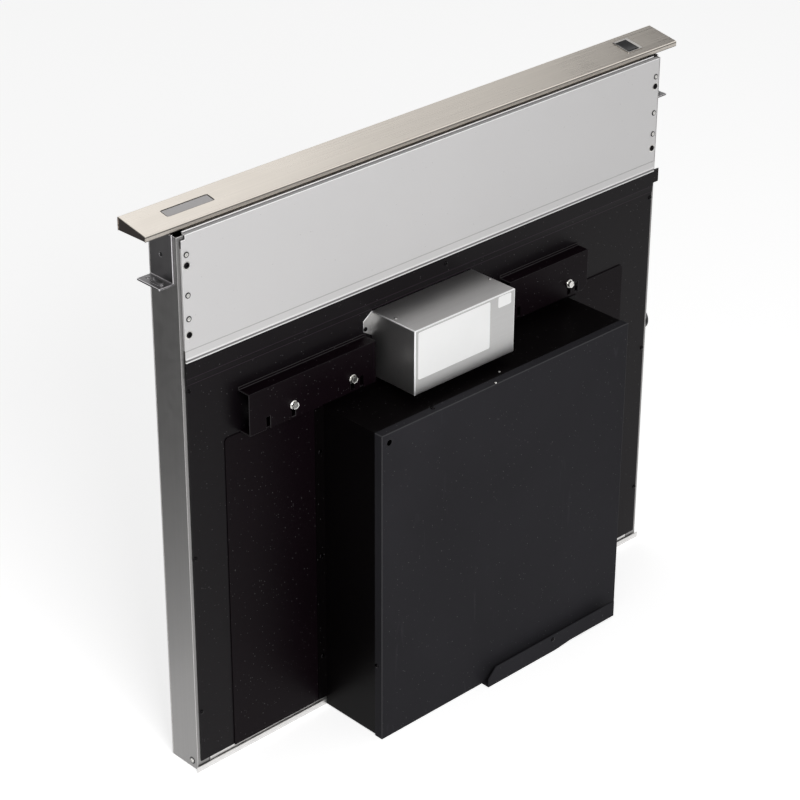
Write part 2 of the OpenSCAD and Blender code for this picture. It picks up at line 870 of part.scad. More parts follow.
// Grey upper panel with hemmed sides, a folded top edge and a hemmed bottom edge
module upper_front_panel() {
    half = front_width / 2;
    face = -front_sheet;
    back = face + grey_return;
    color(grey_paint) placed() difference() {
        union() {
            block(-half, half, face, 0, grey_bottom, case_height);
            for (side = [0, 1]) mirror([side, 0, 0])
                block(half - grey_hem, half, -seat, front_sheet,
                      grey_bottom + grey_crease_height, case_height - grey_hem);
            block(-half, half, face, back, case_height - front_sheet, case_height);
            block(-half + grey_notch, half - grey_notch, back - front_sheet, back,
                  case_height - front_sheet, case_height + grey_upturn - front_sheet);
            block(-half, half, face - grey_crease, face + seat,
                  grey_bottom, grey_bottom + grey_crease_height);
            block(-half, half, face - grey_crease * 2, face + seat,
                  grey_bottom, grey_bottom + grey_edge);
        }
        block(-half - over, -half + grey_notch, face - over, back + over,
              case_height - grey_notch, case_height + over);
        for (side = [-1, 1]) {
            for (share = grey_screw_shares)
                bar_y(side * grey_screw_x, grey_z(share), shank_radius + screw_gap,
                      face - over, front_sheet + over);
            for (share = grey_hole_shares)
                bar_y(side * grey_screw_x, grey_z(share), grey_hole_radius,
                      face - over, front_sheet + over);
        }
    }
}

module header_band() {
    half = front_width / 2;
    z0 = header_top - header_height;
    color(black_coat) placed() difference() {
        union() {
            block(-half, half, -front_sheet, 0, z0, header_top);
            block(half, half + header_tab_reach, -front_sheet, 0,
                  header_top - header_tab_height + header_tab_rise, header_top + header_tab_rise);
            block(-half, half, -step_sheet, 0, z0 - header_step, z0 + seat);
        }
        bar_y(header_screw_x, header_top - header_screw_drop, shank_radius + screw_gap,
              -front_sheet - over, over);
    }
}

module lower_front_panel() {
    half = front_width / 2;
    color(black_coat) placed() difference() {
        block(-half, half, 0, front_sheet, front_bottom_gap, front_panel_top);
        bar_y(wheel_x, wheel_z, wheel_radius * inlet_mouth_share + inlet_panel_gap,
              -over, front_sheet + over);
        bar_y(-control_offset, control_middle, wire_hole_radius,
              -over, front_sheet + over);
        for (side = [-1, 1], i = [0 : len(edge_screw_shares) - 1])
            bar_y(side * edge_screw_x, edge_screw_z(i), shank_radius + screw_gap,
                  -over, front_sheet + over);
        for (x = rail_bolt_xs) bar_y(x, rail_bolt_z, bolt_hole_radius, -over, front_sheet + over);
        bar_y(header_screw_x, header_top - header_screw_drop, shank_radius + screw_gap,
              -over, front_sheet + over);
        bar_y(ear_screw_x, ear_screw_z, shank_radius + screw_gap, -over, front_sheet + over);
    }
}

// Floor of the case with its front lip, front wall and two side walls
module bottom_pan() {
    half = case_width / 2 - case_sheet;
    color(galvanised) placed() difference() {
        union() {
            block(-half, half, -pan_sheet, case_depth, 0, pan_sheet);
            block(-half - case_sheet - pan_lip_reach, half + case_sheet + pan_lip_reach,
                  -pan_sheet, 0, 0, pan_lip);
            block(-half, half, front_sheet, front_sheet + pan_sheet, 0, pan_wall);
            for (side = [0, 1]) mirror([side, 0, 0])
                block(half - pan_sheet, half, front_sheet + pan_sheet,
                      inner_back_y - case_sheet, 0, pan_side_wall);
        }
        for (side = [0, 1]) mirror([side, 0, 0]) {
            block(half - side_flange, half + over, front_sheet - over,
                  front_sheet + case_sheet, side_bottom, pan_wall + over);
            bar_x(side_screw_depth, side_screw_height, shank_radius + screw_gap,
                  half - pan_sheet - over, half + over);
        }
        bar_y(case_width * pan_screw_share, pan_lip / 2, shank_radius / 2 + screw_gap,
              -pan_sheet - over, over);
    }
}

// Black plate that the blower box is fastened to
module blower_mount_plate() {
    half = mount_plate_width / 2;
    color(black_coat) placed() difference() {
        front_slab(plate_front_y, 0) polygon([
            [-half, mount_plate_bottom], [half, mount_plate_bottom],
            [half, mount_plate_top - mount_chamfer], [half - mount_chamfer, mount_plate_top],
            [-half + mount_chamfer, mount_plate_top], [-half, mount_plate_top - mount_chamfer]
        ]);
        bar_y(wheel_x, wheel_z, wheel_radius * inlet_mouth_share + inlet_panel_gap,
              plate_front_y - over, over);
        flange_screw_holes();
    }
}

module support_rail(x0, x1, bolts, slots, corner) {
    z0 = rail_bottom;
    z1 = z0 + rail_height;
    color(black_coat) placed() difference() {
        union() {
            front_slab(-rail_depth, -rail_depth + rail_sheet) polygon([
                [x0, z0], [x1 - corner, z0], [x1, z0 + corner], [x1, z1], [x0, z1]
            ]);
            block(x0, x1, -rail_depth + rail_sheet - seat, 0, z1 - rail_sheet, z1);
            block(x0, x1 - corner, -rail_depth + rail_sheet - seat, 0, z0, z0 + rail_sheet);
            block(x0, x1, -rail_sheet, 0, z1 - seat, z1 + rail_foot);
        }
        for (x = bolts) {
            bar_y(x, rail_bolt_z, bolt_hole_radius, -rail_depth - over, -rail_depth + rail_sheet + over);
            block(x - keyhole_width / 2, x + keyhole_width / 2, -rail_depth - over,
                  -rail_depth + rail_sheet + over, rail_bolt_z - keyhole_drop, rail_bolt_z);
        }
        for (x = slots)
            block(x - rail_slot_width / 2, x + rail_slot_width / 2, -rail_depth - over,
                  -rail_depth + rail_sheet + over, z0 - over, z0 + rail_slot_height);
    }
}

module support_rail_left() support_rail(
    -rail_left_outer, -rail_left_inner,
    [for (s = left_bolt_shares) left_rail_x(s)],
    [for (s = left_slot_shares) left_rail_x(s)], 0);

module support_rail_right() support_rail(
    rail_right_inner, rail_right_outer,
    [for (s = right_bolt_shares) right_rail_x(s)],
    [for (s = right_slot_shares) right_rail_x(s)], rail_corner);

// Hexagon bolts with washers in front of the rails and nuts behind the panel
module rail_bolts() color(zinc_bright) placed() for (x = rail_bolt_xs) {
    bar_y(x, rail_bolt_z, washer_radius, -rail_depth - washer_height, -rail_depth);
    translate([x, -rail_depth - washer_height + seat, rail_bolt_z]) rotate([90, 0, 0])
        cylinder(r = bolt_head_radius, h = bolt_head_height, $fn = 6);
    bar_y(x, rail_bolt_z, bolt_shank_radius, -rail_depth - seat, front_sheet + nut_height);
    translate([x, front_sheet + nut_height, rail_bolt_z]) rotate([90, 0, 0])
        cylinder(r = bolt_head_radius, h = nut_height, $fn = 6);
}

// Angle on the case's side that hooks under the worktop
module worktop_bracket(side) {
    x0 = case_width / 2;
    x1 = x0 + bracket_reach;
    y0 = bracket_setback;
    y1 = y0 + bracket_width;
    shelf = case_height - bracket_drop;
    boss_x = x0 + boss_from_case;
    boss_y = y0 + boss_inset;
    run = (boss_length - boss_width) / 2;
    color(stainless_dark) placed() mirror([side < 0 ? 1 : 0, 0, 0]) difference() {
        union() {
            block(x0, x0 + bracket_sheet, y0, y1, shelf - bracket_sheet,
                  case_height + cap_gap - bracket_top_gap);
            block(x0, x1, y0, y1, shelf - bracket_sheet, shelf);
            for (s = [-1, 1])
                bar_z(boss_x, boss_y + s * run, boss_width / 2, shelf - seat, shelf + boss_height);
            block(boss_x - boss_width / 2, boss_x + boss_width / 2, boss_y - run, boss_y + run,
                  shelf - seat, shelf + boss_height);
        }
        for (s = [-1, 1])
            bar_z(boss_x, boss_y + s * run, boss_slot_width / 2,
                  shelf - bracket_sheet - over, shelf + boss_height + over);
        block(boss_x - boss_slot_width / 2, boss_x + boss_slot_width / 2,
              boss_y - run, boss_y + run,
              shelf - bracket_sheet - over, shelf + boss_height + over);
        bar_z(boss_x, y1 - stud_hole_inset, stud_hole_radius,
              shelf - bracket_sheet - over, shelf + over);
        bar_x(y0 + bracket_width / 2, case_height - bracket_hole_drop, bracket_hole_radius,
              x0 - over, x0 + bracket_sheet + over);
    }
}

module worktop_bracket_left() worktop_bracket(-1);
module worktop_bracket_right() worktop_bracket(1);

// Channel inside the case's side that the glide blocks run in
module guide_rail(side) {
    x1 = case_width / 2 - case_sheet;
    x0 = x1 - guide_depth;
    z1 = case_height - guide_top_gap;
    color(galvanised) placed() mirror([side < 0 ? 1 : 0, 0, 0]) difference() {
        block(x0, x1, riser_middle_y - guide_half, riser_middle_y + guide_half, guide_bottom, z1);
        block(x0 - over, x1 - guide_sheet, riser_middle_y - guide_half + guide_sheet,
              riser_middle_y + guide_half - guide_sheet, guide_bottom + guide_sheet, z1 + over);
    }
}

module guide_rail_left() guide_rail(-1);
module guide_rail_right() guide_rail(1);

// Rubber stops that the lowest glide blocks rest on
module rest_bumpers() {
    x1 = case_width / 2 - case_sheet - guide_sheet;
    half = guide_half - guide_sheet - glide_side_gap;
    z0 = guide_bottom + guide_sheet;
    z1 = leg_bottom + leg_sheet * 4 - bumper_gap;
    color(black_plastic) placed() for (side = [0, 1]) mirror([side, 0, 0])
        block(x1 - guide_depth + guide_sheet * 2, x1,
              riser_middle_y - half, riser_middle_y + half, z0, z1);
}

// Felt strips that close the gap round the riser at the case's mouth
module riser_seals() {
    half = riser_width / 2 - leg_flange;
    z1 = case_height - front_sheet;
    z0 = z1 - seal_height;
    color(black_plastic) placed() {
        block(-half, half, 0, riser_setback - seal_gap, z0, z1);
        block(-half, half, riser_back_y + seal_gap, inner_back_y, z0, z1);
    }
}

// Black screws of the front panels
module panel_screws() color(black_plastic) placed() {
    for (side = [-1, 1]) {
        for (i = [0 : len(edge_screw_shares) - 1])
            front_screw(side * edge_screw_x, edge_screw_z(i), 0, small_head_radius);
        for (share = grey_screw_shares)
            front_screw(side * grey_screw_x, grey_z(share), -front_sheet, grey_head_radius);
    }
    front_screw(header_screw_x, header_top - header_screw_drop, -front_sheet, small_head_radius);
    front_screw(ear_screw_x, ear_screw_z, -control_sheet, small_head_radius);
    for (x = [shell_left - rear_flange / 2, shell_right + rear_flange / 2],
         share = flange_screw_shares) {
        bar_y(x, blower_height * share, small_head_radius,
              shell_back_y - head_height, shell_back_y);
        bar_y(x, blower_height * share, shank_radius, shell_back_y - seat, -seat);
    }
    for (side = [-1, 1]) {
        face = blower_offset + side * blower_width / 2;
        bar_x(-blower_depth + box_screw_depth, box_screw_height, small_head_radius,
              min(face, face + side * head_height), max(face, face + side * head_height));
    }
    for (share = box_screw_shares)
        bar_z(blower_left + blower_width * share, -blower_depth + box_screw_depth,
              small_head_radius, blower_height, blower_height + head_height);
    bar_y(plate_left + plate_width * outlet_screw_share, outlet_screw_height,
          small_head_radius, -front_reach - head_height, -front_reach);
}

// Bright screws of the galvanised pan and the rivets on the blower box
module case_screws() color(zinc_bright) placed() {
    for (side = [0, 1]) mirror([side, 0, 0]) {
        bar_x(side_screw_depth, side_screw_height, small_head_radius,
              case_width / 2, case_width / 2 + head_height);
        bar_x(side_screw_depth, side_screw_height, shank_radius,
              case_width / 2 - shank_length, case_width / 2 + seat);
    }
    bar_y(case_width * pan_screw_share, pan_lip / 2, small_head_radius / 2,
          -pan_sheet - head_height / 2, -pan_sheet);
    bar_y(case_width * pan_screw_share, pan_lip / 2, shank_radius / 2, -pan_sheet - seat, 0);
    for (dot = [[dot_shares[0], shell_top], [dot_shares[1], blower_height]])
        bar_z(blower_left + blower_width * dot[0][0], -blower_depth * (1 - dot[0][1]),
              dot_radius, dot[1], dot[1] + dot_height);
}

// Black plug that closes the wiring hole in the right side
module side_plug() {
    x = case_width / 2;
    color(black_plastic) placed() {
        bar_x(plug_setback, plug_height, plug_radius, x, x + plug_rise - plug_dome);
        bar_x(plug_setback, plug_height, plug_radius - plug_dome, x, x + plug_rise);
        bar_x(plug_setback, plug_height, plug_neck_radius, x - plug_neck, x + seat);
    }
}

// Control box

module control_base() {
    ear = control_left - control_ear;
    root = control_left + control_sheet + seat;
    foot = control_top - control_ear_height;
    color(galvanised) placed() difference() {
        union() {
            block(control_left + control_sheet, control_right - control_sheet,
                  -control_sheet, 0, control_bottom, control_top - control_sheet);
            block(control_left + control_sheet, control_right - control_sheet,
                  -control_depth + control_sheet, 0, control_bottom, control_bottom + control_sheet);
            front_slab(-control_sheet, 0) polygon([
                [root, foot], [root, control_top], [ear, control_top - ear_cuts[0]], [ear, foot + ear_cuts[1]]
            ]);
        }
        bar_y(-control_offset, control_middle, wire_hole_radius,
              -control_sheet - over, over);
        bar_y(ear_screw_x, ear_screw_z, shank_radius + screw_gap, -control_sheet - over, over);
    }
}

module control_cover() color(galvanised) placed() difference() {
    block(control_left, control_right, -control_depth, -control_sheet,
          control_bottom, control_top);
    block(control_left + control_sheet, control_right - control_sheet,
          -control_depth + control_sheet, over,
          control_bottom - over, control_top - control_sheet);
    bar_x(-bushing_depth, control_middle, bushing_neck_radius + screw_gap,
          control_right - control_sheet - over, control_right + over);
}

// Circuit board with its transformer, relays and terminal block
module control_board() {
    z0 = control_bottom + (control_height - board_height) / 2;
    x0 = control_left + board_inset;
    x1 = control_right - board_inset;
    y1 = -control_sheet - standoff_height;
    y0 = y1 - board_sheet;
    relay_x = -control_offset + relay_pitch / 2;
    color(board_green) placed() difference() {
        block(x0, x1, y0, y1, z0, z0 + board_height);
        bar_y(-control_offset, control_middle, wire_hole_radius,
              y0 - over, y1 + over);
    }
    color(black_plastic) placed() {
        for (x = [x0 + standoff_radius, x1 - standoff_radius],
             z = [z0 + standoff_radius, z0 + board_height - standoff_radius])
            bar_y(x, z, standoff_radius, y1, -control_sheet);
        block(x0 + standoff_radius, x0 + standoff_radius + transformer_width,
              y0 - transformer_depth, y0,
              z0 + standoff_radius, z0 + standoff_radius + transformer_height);
        for (i = [0 : relay_count - 1])
            block(relay_x + i * relay_pitch, relay_x + i * relay_pitch + relay_width,
                  y0 - relay_depth, y0,
                  z0 + board_height - relay_height - standoff_radius,
                  z0 + board_height - standoff_radius);
        block(relay_x, relay_x + block_width, y0 - block_depth, y0,
              z0 + standoff_radius, z0 + standoff_radius + block_height);
    }
}

// Motor capacitor, clipped to the floor of the control box
module run_capacitor() {
    y = -control_depth + control_sheet * 2 + capacitor_radius;
    z = control_bottom + control_sheet + capacitor_clip + capacitor_radius;
    color(aluminium) placed() {
        bar_x(y, z, capacitor_radius, -control_offset, -control_offset + capacitor_length);
        block(-control_offset + capacitor_clip * 4, -control_offset + capacitor_clip * 8,
              y - capacitor_radius / 2, y + capacitor_radius / 2,
              control_bottom + control_sheet, z - capacitor_radius / 2);
    }
}

// Blank labels on the control box's front
module control_labels() color(label_white) placed() {
    y = -control_depth;
    x0 = control_left + label_left_inset;
    x1 = control_right - small_label_inset;
    z0 = control_top - label_drop;
    z1 = control_top - small_label_drop;
    block(x0, x0 + label_width, y - label_sheet, y, z0 - label_height, z0);
    block(x1 - small_label_width, x1, y - label_sheet, y, z1 - small_label_height, z1);
}

// Bushing in the control box's right side for the supply cord
module cord_bushing() {
    z = control_middle;
    color(black_plastic) placed() difference() {
        union() {
            bar_x(-bushing_depth, z, bushing_radius, control_right, control_right + bushing_rise);
            bar_x(-bushing_depth, z, bushing_neck_radius,
                  control_right - bushing_neck, control_right + seat);
        }
        bar_x(-bushing_depth, z, bushing_bore,
              control_right - bushing_neck - over, control_right + bushing_rise + over);
    }
}

// Lift drive

module lift_gearbox() color(motor_grey) placed() difference() {
    block(drive_x - gearbox_width / 2, drive_x + gearbox_width / 2,
          inner_back_y - gearbox_depth, inner_back_y, gearbox_bottom, gearbox_top);
    bar_z(drive_x, screw_y, journal_radius + turn_gap,
          gearbox_top - journal_depth, gearbox_top + over);
}

module lift_motor() color(motor_grey) placed() {
    x0 = drive_x + gearbox_width / 2;
    bar_x(screw_y, lift_motor_z, lift_motor_radius, x0, x0 + lift_motor_length);
    bar_x(screw_y, lift_motor_z, lift_motor_radius / 3,
          x0 + lift_motor_length - seat, x0 + lift_motor_length + lift_motor_radius / 3);
}

// Bridge on the pan that the gearbox and the motor stand on
module lift_motor_bracket() color(galvanised) placed() {
    x0 = drive_x - gearbox_width / 2 - bracket_leg;
    x1 = drive_x + gearbox_width / 2 + lift_motor_length;
    y0 = inner_back_y - gearbox_depth;
    saddle_x = x1 - gearbox_width / 2;
    saddle_top = lift_motor_z - lift_motor_radius - motor_support_gap;
    block(x0, x1, y0, inner_back_y, gearbox_bottom - bracket_leg, gearbox_bottom);
    for (x = [x0, x1 - bracket_leg])
        block(x, x + bracket_leg, y0, inner_back_y, pan_sheet, gearbox_bottom - bracket_leg + seat);
    block(saddle_x, saddle_x + bracket_leg * 4, screw_y - lift_motor_radius / 2,
          screw_y + lift_motor_radius / 2, gearbox_bottom - seat, saddle_top);
}

// Lead screw between the gearbox and the upper bearing
module lead_screw() color(zinc_bright) placed() {
    z0 = gearbox_top + thrust_gap + thrust_height;
    z1 = bearing_bottom - thrust_gap;
    bar_z(drive_x, screw_y, journal_radius,
          gearbox_top - journal_depth + thrust_gap, bearing_bottom + bearing_height);
    bar_z(drive_x, screw_y, thrust_radius, gearbox_top + thrust_gap, z0);
    bar_z(drive_x, screw_y, screw_radius, z0 - seat, z1);
}

module screw_bearing() color(brass) placed() difference() {
    block(drive_x - bearing_size / 2, drive_x + bearing_size / 2,
          screw_y - bearing_size / 2, inner_back_y,
          bearing_bottom, bearing_bottom + bearing_height);
    bar_z(drive_x, screw_y, journal_radius + turn_gap,
          bearing_bottom - over, bearing_bottom + bearing_height + over);
}

// Two end switches on the back panel, under and over the cross bar's travel
module limit_switches() {
    x = -riser_width / 2 + limit_switch_inset;
    low_top = crossbar_bottom - limit_gap;
    high_bottom = nut_top_raised + limit_gap;
    color(black_plastic) placed() for (z = [low_top - switch_block, high_bottom])
        block(x, x + switch_block, inner_back_y - switch_depth, inner_back_y,
              z, z + switch_block);
    color(zinc_bright) placed() for (z = [low_top - seat, high_bottom - limit_gap / 2])
        bar_z(x + switch_block / 2, inner_back_y - switch_depth / 2, lever_radius,
              z, z + limit_gap / 2 + seat);
}

// Blower box

module flange_screw_holes()
    for (x = [shell_left - rear_flange / 2, shell_right + rear_flange / 2],
         share = flange_screw_shares)
        bar_y(x, blower_height * share, shank_radius + screw_gap, shell_back_y - over, over);

// Black box with a rear flange, open to the room side and over the outlet
module blower_shell() {
    s = blower_sheet;
    color(black_coat) placed() difference() {
        union() {
            block(shell_left, shell_right, cover_back_y, plate_front_y, outlet_sheet, shell_top);
            block(shell_left - rear_flange, shell_right + rear_flange, shell_back_y,
                  plate_front_y, outlet_sheet + mount_plate_bottom, shell_top);
            block(shell_left, shell_right, shell_back_y, plate_front_y,
                  shell_top - seat, shell_top + rear_flange_top);
        }
        block(shell_left + s, shell_right - s, cover_back_y - over, shell_back_y,
              outlet_sheet + s, shell_top - s);
        block(outlet_left, outlet_right, cover_back_y - over,
              shell_back_y, outlet_sheet - over, outlet_sheet + s + over);
        bar_y(wheel_x, wheel_z, wheel_radius * inlet_mouth_share, shell_back_y - over,
              plate_front_y + over);
        flange_screw_holes();
        outlet_screw_holes();
    }
}

// Front cover with a narrow return over the box's sides and top
module blower_front_cover() {
    s = blower_sheet;
    color(black_coat) placed() difference() {
        block(blower_left, blower_right, -blower_depth, -blower_depth + cover_return,
              0, blower_height);
        block(shell_left, shell_right, cover_back_y, -blower_depth + cover_return + over,
              -over, shell_top);
        block(plate_left - cover_notch_gap,
              plate_left + plate_width + cover_notch_gap,
              -blower_depth - over, cover_back_y + over, -over, outlet_sheet + cover_notch_gap);
        bar_y(blower_left + cover_hole_inset, blower_height - cover_hole_drop, cover_hole_radius,
              -blower_depth - over, cover_back_y + over);
    }
}

function scroll_point(i, extra) =
    let (turn = tongue_turn + (270 - tongue_turn) * i / scroll_steps,
         r = scroll_start + (scroll_end - scroll_start) * turn / 270 + extra)
    [wheel_x + r * cos(-90 - turn), wheel_z + r * sin(-90 - turn)];

// Spiral wall that winds from the tongue round the wheel to the outlet
module scroll_wall() {
    z0 = outlet_sheet + blower_sheet + scroll_end_gap;
    inner = concat([[outlet_left, z0], [outlet_left, tongue_height]],
                   [for (i = [0 : scroll_steps]) scroll_point(i, 0)], [[outlet_right, z0]]);
    outer = concat([[outlet_right + scroll_sheet, z0]],
                   [for (i = [scroll_steps : -1 : 0]) scroll_point(i, scroll_sheet)],
                   [[outlet_left - scroll_sheet, tongue_height], [outlet_left - scroll_sheet, z0]]);
    color(galvanised) placed()
        front_slab(cover_back_y + scroll_end_gap, shell_back_y) polygon(concat(inner, outer));
}

// Turns a profile in radius and depth about the wheel's axis
module around_wheel()
    translate([wheel_x, 0, wheel_z]) rotate([90, 0, 0]) rotate_extrude() children();

wheel_back = front_sheet + blower_sheet + inlet_gap;
wheel_front = wheel_back + wheel_width;
cup_floor = wheel_front - cup_depth;
cup_radius = motor_radius + cup_gap;
motor_front = blower_depth - blower_sheet - motor_front_gap;
motor_rear = cup_floor + wheel_disc + motor_rear_gap;

// Bell mouth between the box's back and the wheel
module inlet_ring() {
    mouth = wheel_radius * inlet_mouth_share;
    throat = wheel_radius * inlet_throat_share;
    back = front_sheet + blower_sheet;
    front = wheel_back - inlet_sheet;
    color(galvanised) placed() around_wheel() polygon([
        [mouth - inlet_sheet, back], [mouth + inlet_sheet * 3, back],
        [mouth + inlet_sheet * 3, back + inlet_sheet], [mouth, back + inlet_sheet],
        [throat + inlet_sheet, front], [throat, front]
    ]);
}

function blade_angle(share) = blade_sweep * share * share;
function blade_point(share, half) =
    let (r = wheel_radius * (blade_inner_share
             + (blade_outer_share - blade_inner_share) * share),
         a = blade_angle(share) + half * 90 / (PI * r))
    [r * cos(a), r * sin(a)];

// Forward curved wheel: blades between an inlet ring and a cupped disc
module blower_wheel() color(galvanised) placed() {
    around_wheel() polygon([
        [wheel_radius - wheel_ring_width, wheel_back], [wheel_radius, wheel_back],
        [wheel_radius, wheel_back + wheel_ring_sheet],
        [wheel_radius - wheel_ring_width, wheel_back + wheel_ring_sheet]
    ]);
    around_wheel() polygon([
        [shaft_radius + turn_gap, cup_floor - hub_length + hub_gap],
        [hub_radius, cup_floor - hub_length + hub_gap],
        [hub_radius, cup_floor], [cup_radius + wheel_disc, cup_floor],
        [cup_radius + wheel_disc, wheel_front - wheel_disc],
        [wheel_radius, wheel_front - wheel_disc],
        [wheel_radius, wheel_front], [cup_radius, wheel_front],
        [cup_radius, cup_floor + wheel_disc], [shaft_radius + turn_gap, cup_floor + wheel_disc]
    ]);
    translate([wheel_x, -wheel_back - wheel_ring_sheet / 2, wheel_z]) rotate([90, 0, 0])
        linear_extrude(wheel_width - wheel_ring_sheet / 2 - wheel_disc / 2)
            for (b = [0 : blade_count - 1]) rotate(b * 360 / blade_count) polygon(concat(
                [for (i = [0 : blade_steps]) blade_point(i / blade_steps, -blade_sheet)],
                [for (i = [blade_steps : -1 : 0]) blade_point(i / blade_steps, blade_sheet)]
            ));
}

module motor_shaft() color(zinc_bright) placed()
    bar_y(wheel_x, wheel_z, shaft_radius, -motor_front + motor_front_gap,
          -cup_floor + hub_length - hub_gap);

module blower_motor() color(motor_grey) placed() around_wheel() polygon([
    [shaft_radius + turn_gap, motor_rear], [motor_cap_radius, motor_rear],
    [motor_radius, motor_rear + motor_rear_gap], [motor_radius, motor_front - motor_front_gap],
    [motor_cap_radius, motor_front], [0, motor_front],
    [0, motor_front - motor_front_gap], [shaft_radius + turn_gap, motor_front - motor_front_gap]
]);

// Ring with three arms that holds the motor to the front cover
module motor_mount() {
    r0 = motor_radius + screw_gap;
    r1 = r0 + mount_ring;
    front = blower_depth - blower_sheet;
    ring_front = motor_front - motor_front_gap;
    color(black_coat) placed() {
        around_wheel() polygon([
            [r0, ring_front - mount_thickness], [r1, ring_front - mount_thickness],
            [r1, ring_front], [r0, ring_front]
        ]);
        for (a = [90, 210, 330]) translate([wheel_x, 0, wheel_z]) rotate([0, a, 0]) {
            block(r1 - mount_ring / 2, r1 + mount_arm_reach, -ring_front,
                  -ring_front + mount_thickness, -mount_arm_width / 2, mount_arm_width / 2);
            block(r1 + mount_arm_reach - mount_arm_width, r1 + mount_arm_reach, -front,
                  -ring_front + seat, -mount_arm_width / 2, mount_arm_width / 2);
        }
    }
}

// Outlet

plate_left = outlet_left - outlet_side;
plate_width = outlet_width + outlet_side * 2 + outlet_sheet;
outlet_back = shell_back_y - outlet_front_gap;

// Holes for the four screws that hold a duct to the outlet
module outlet_screw_holes() {
    x0 = plate_left + outlet_hole_inset;
    x1 = plate_left + plate_width - outlet_hole_inset;
    for (x = [x0, x1], y = [outlet_back - outlet_depth + outlet_side, outlet_back - outlet_side])
        bar_z(x, y, outlet_hole_radius, -over, outlet_sheet + blower_sheet + over);
}

// Plate under the box with the outlet in it and a stiffening flange in front
module outlet_plate() {
    x0 = plate_left;
    x1 = x0 + plate_width;
    kinks = [for (share = outlet_kink_shares) x0 + (x1 - x0) * share];
    color(black_coat) placed() difference() {
        union() {
            block(x0, x1, outlet_relief - front_reach, plate_front_y, 0, outlet_sheet);
            block(x0, kinks[0], -front_reach, outlet_relief - front_reach + seat, 0, outlet_sheet);
            front_slab(-front_reach, -front_reach + outlet_sheet) polygon([
                [x0, 0], [kinks[0], 0], [kinks[1], outlet_kink], [x1, outlet_kink],
                [x1, outlet_flange], [x0 + outlet_chamfer, outlet_flange],
                [x0, outlet_flange - outlet_chamfer]
            ]);
        }
        block(outlet_left, outlet_right, outlet_back - outlet_depth, outlet_back,
              -over, outlet_sheet + over);
        outlet_screw_holes();
    }
}

damper_top = tongue_height - damper_drop;
damper_pivot_y = shell_back_y - damper_back_inset;
damper_pivot_z = damper_top - damper_barrel;
damper_reach = outlet_depth - damper_back_inset - damper_gap;

// Frame in the outlet that the closed damper seals against, with its hinge ears
module damper_frame() {
    z0 = damper_top + damper_ear_gap;
    color(galvanised) placed() difference() {
        union() {
            difference() {
                block(outlet_left, outlet_right, cover_back_y + scroll_end_gap, shell_back_y,
                      z0, z0 + damper_ear);
                block(outlet_left + damper_rim, outlet_right - damper_rim,
                      cover_back_y + scroll_end_gap + damper_rim, shell_back_y - damper_rim,
                      z0 - over, z0 + damper_ear + over);
            }
            for (x = [outlet_left, outlet_right - damper_ear])
                block(x, x + damper_ear, damper_pivot_y - damper_barrel, shell_back_y,
                      damper_pivot_z - damper_barrel, z0 + seat);
        }
        bar_x(damper_pivot_y, damper_pivot_z, damper_pin_radius + turn_gap,
              outlet_left - over, outlet_right + over);
    }
}

module damper_pin() color(zinc_bright) placed()
    bar_x(damper_pivot_y, damper_pivot_z, damper_pin_radius, outlet_left, outlet_right);

module damper_flap() {
    x0 = outlet_left + damper_gap + damper_ear;
    x1 = outlet_right - damper_gap - damper_ear;
    color(aluminium) placed() difference() {
        union() {
            block(x0, x1, damper_pivot_y - damper_reach, damper_pivot_y,
                  damper_top - damper_sheet, damper_top);
            bar_x(damper_pivot_y, damper_pivot_z, damper_barrel, x0, x1);
            block(x0, x1, damper_pivot_y - damper_reach,
                  damper_pivot_y - damper_reach + damper_sheet,
                  damper_top - damper_tail, damper_top);
        }
        bar_x(damper_pivot_y, damper_pivot_z, damper_pin_radius + turn_gap, x0 - over, x1 + over);
    }
}

top_cap();
cap_end_left();
cap_end_right();
cap_clips();
badge_plate();
switch_bezel();
rocker_switch();
riser_front();
riser_back();
riser_side_left();
riser_side_right();
grease_filter_left();
grease_filter_right();
lift_crossbar();
lift_nut();
glide_blocks();
back_panel();
side_panel_left();
side_panel_right();
upper_front_panel();
header_band();
lower_front_panel();
bottom_pan();
blower_mount_plate();
support_rail_left();
support_rail_right();
rail_bolts();
worktop_bracket_left();
worktop_bracket_right();
guide_rail_left();
guide_rail_right();
rest_bumpers();
riser_seals();
panel_screws();
case_screws();
side_plug();
control_base();
control_cover();
control_board();
run_capacitor();
control_labels();
cord_bushing();
lift_gearbox();
lift_motor();
lift_motor_bracket();
lead_screw();
screw_bearing();
limit_switches();
blower_shell();
blower_front_cover();
scroll_wall();
inlet_ring();
blower_motor();
motor_mount();
motor_shaft();
blower_wheel();
outlet_plate();
damper_frame();
damper_pin();
damper_flap();
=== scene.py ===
"""Looks of a retractable downdraft vent, built round its packed construction model.

Everything is in metres: X runs along the cap, Y from the room side to the back, Z up. The
pieces take their places from the frame's own boxes, and each sub-assembly has its own class.
"""

from __future__ import annotations

import logging
import math
import random
from collections.abc import Iterator
from contextlib import contextmanager
from dataclasses import dataclass, field, replace
from enum import Enum
from typing import Any

import bmesh
import bpy
from mathutils import Matrix, Quaternion, Vector

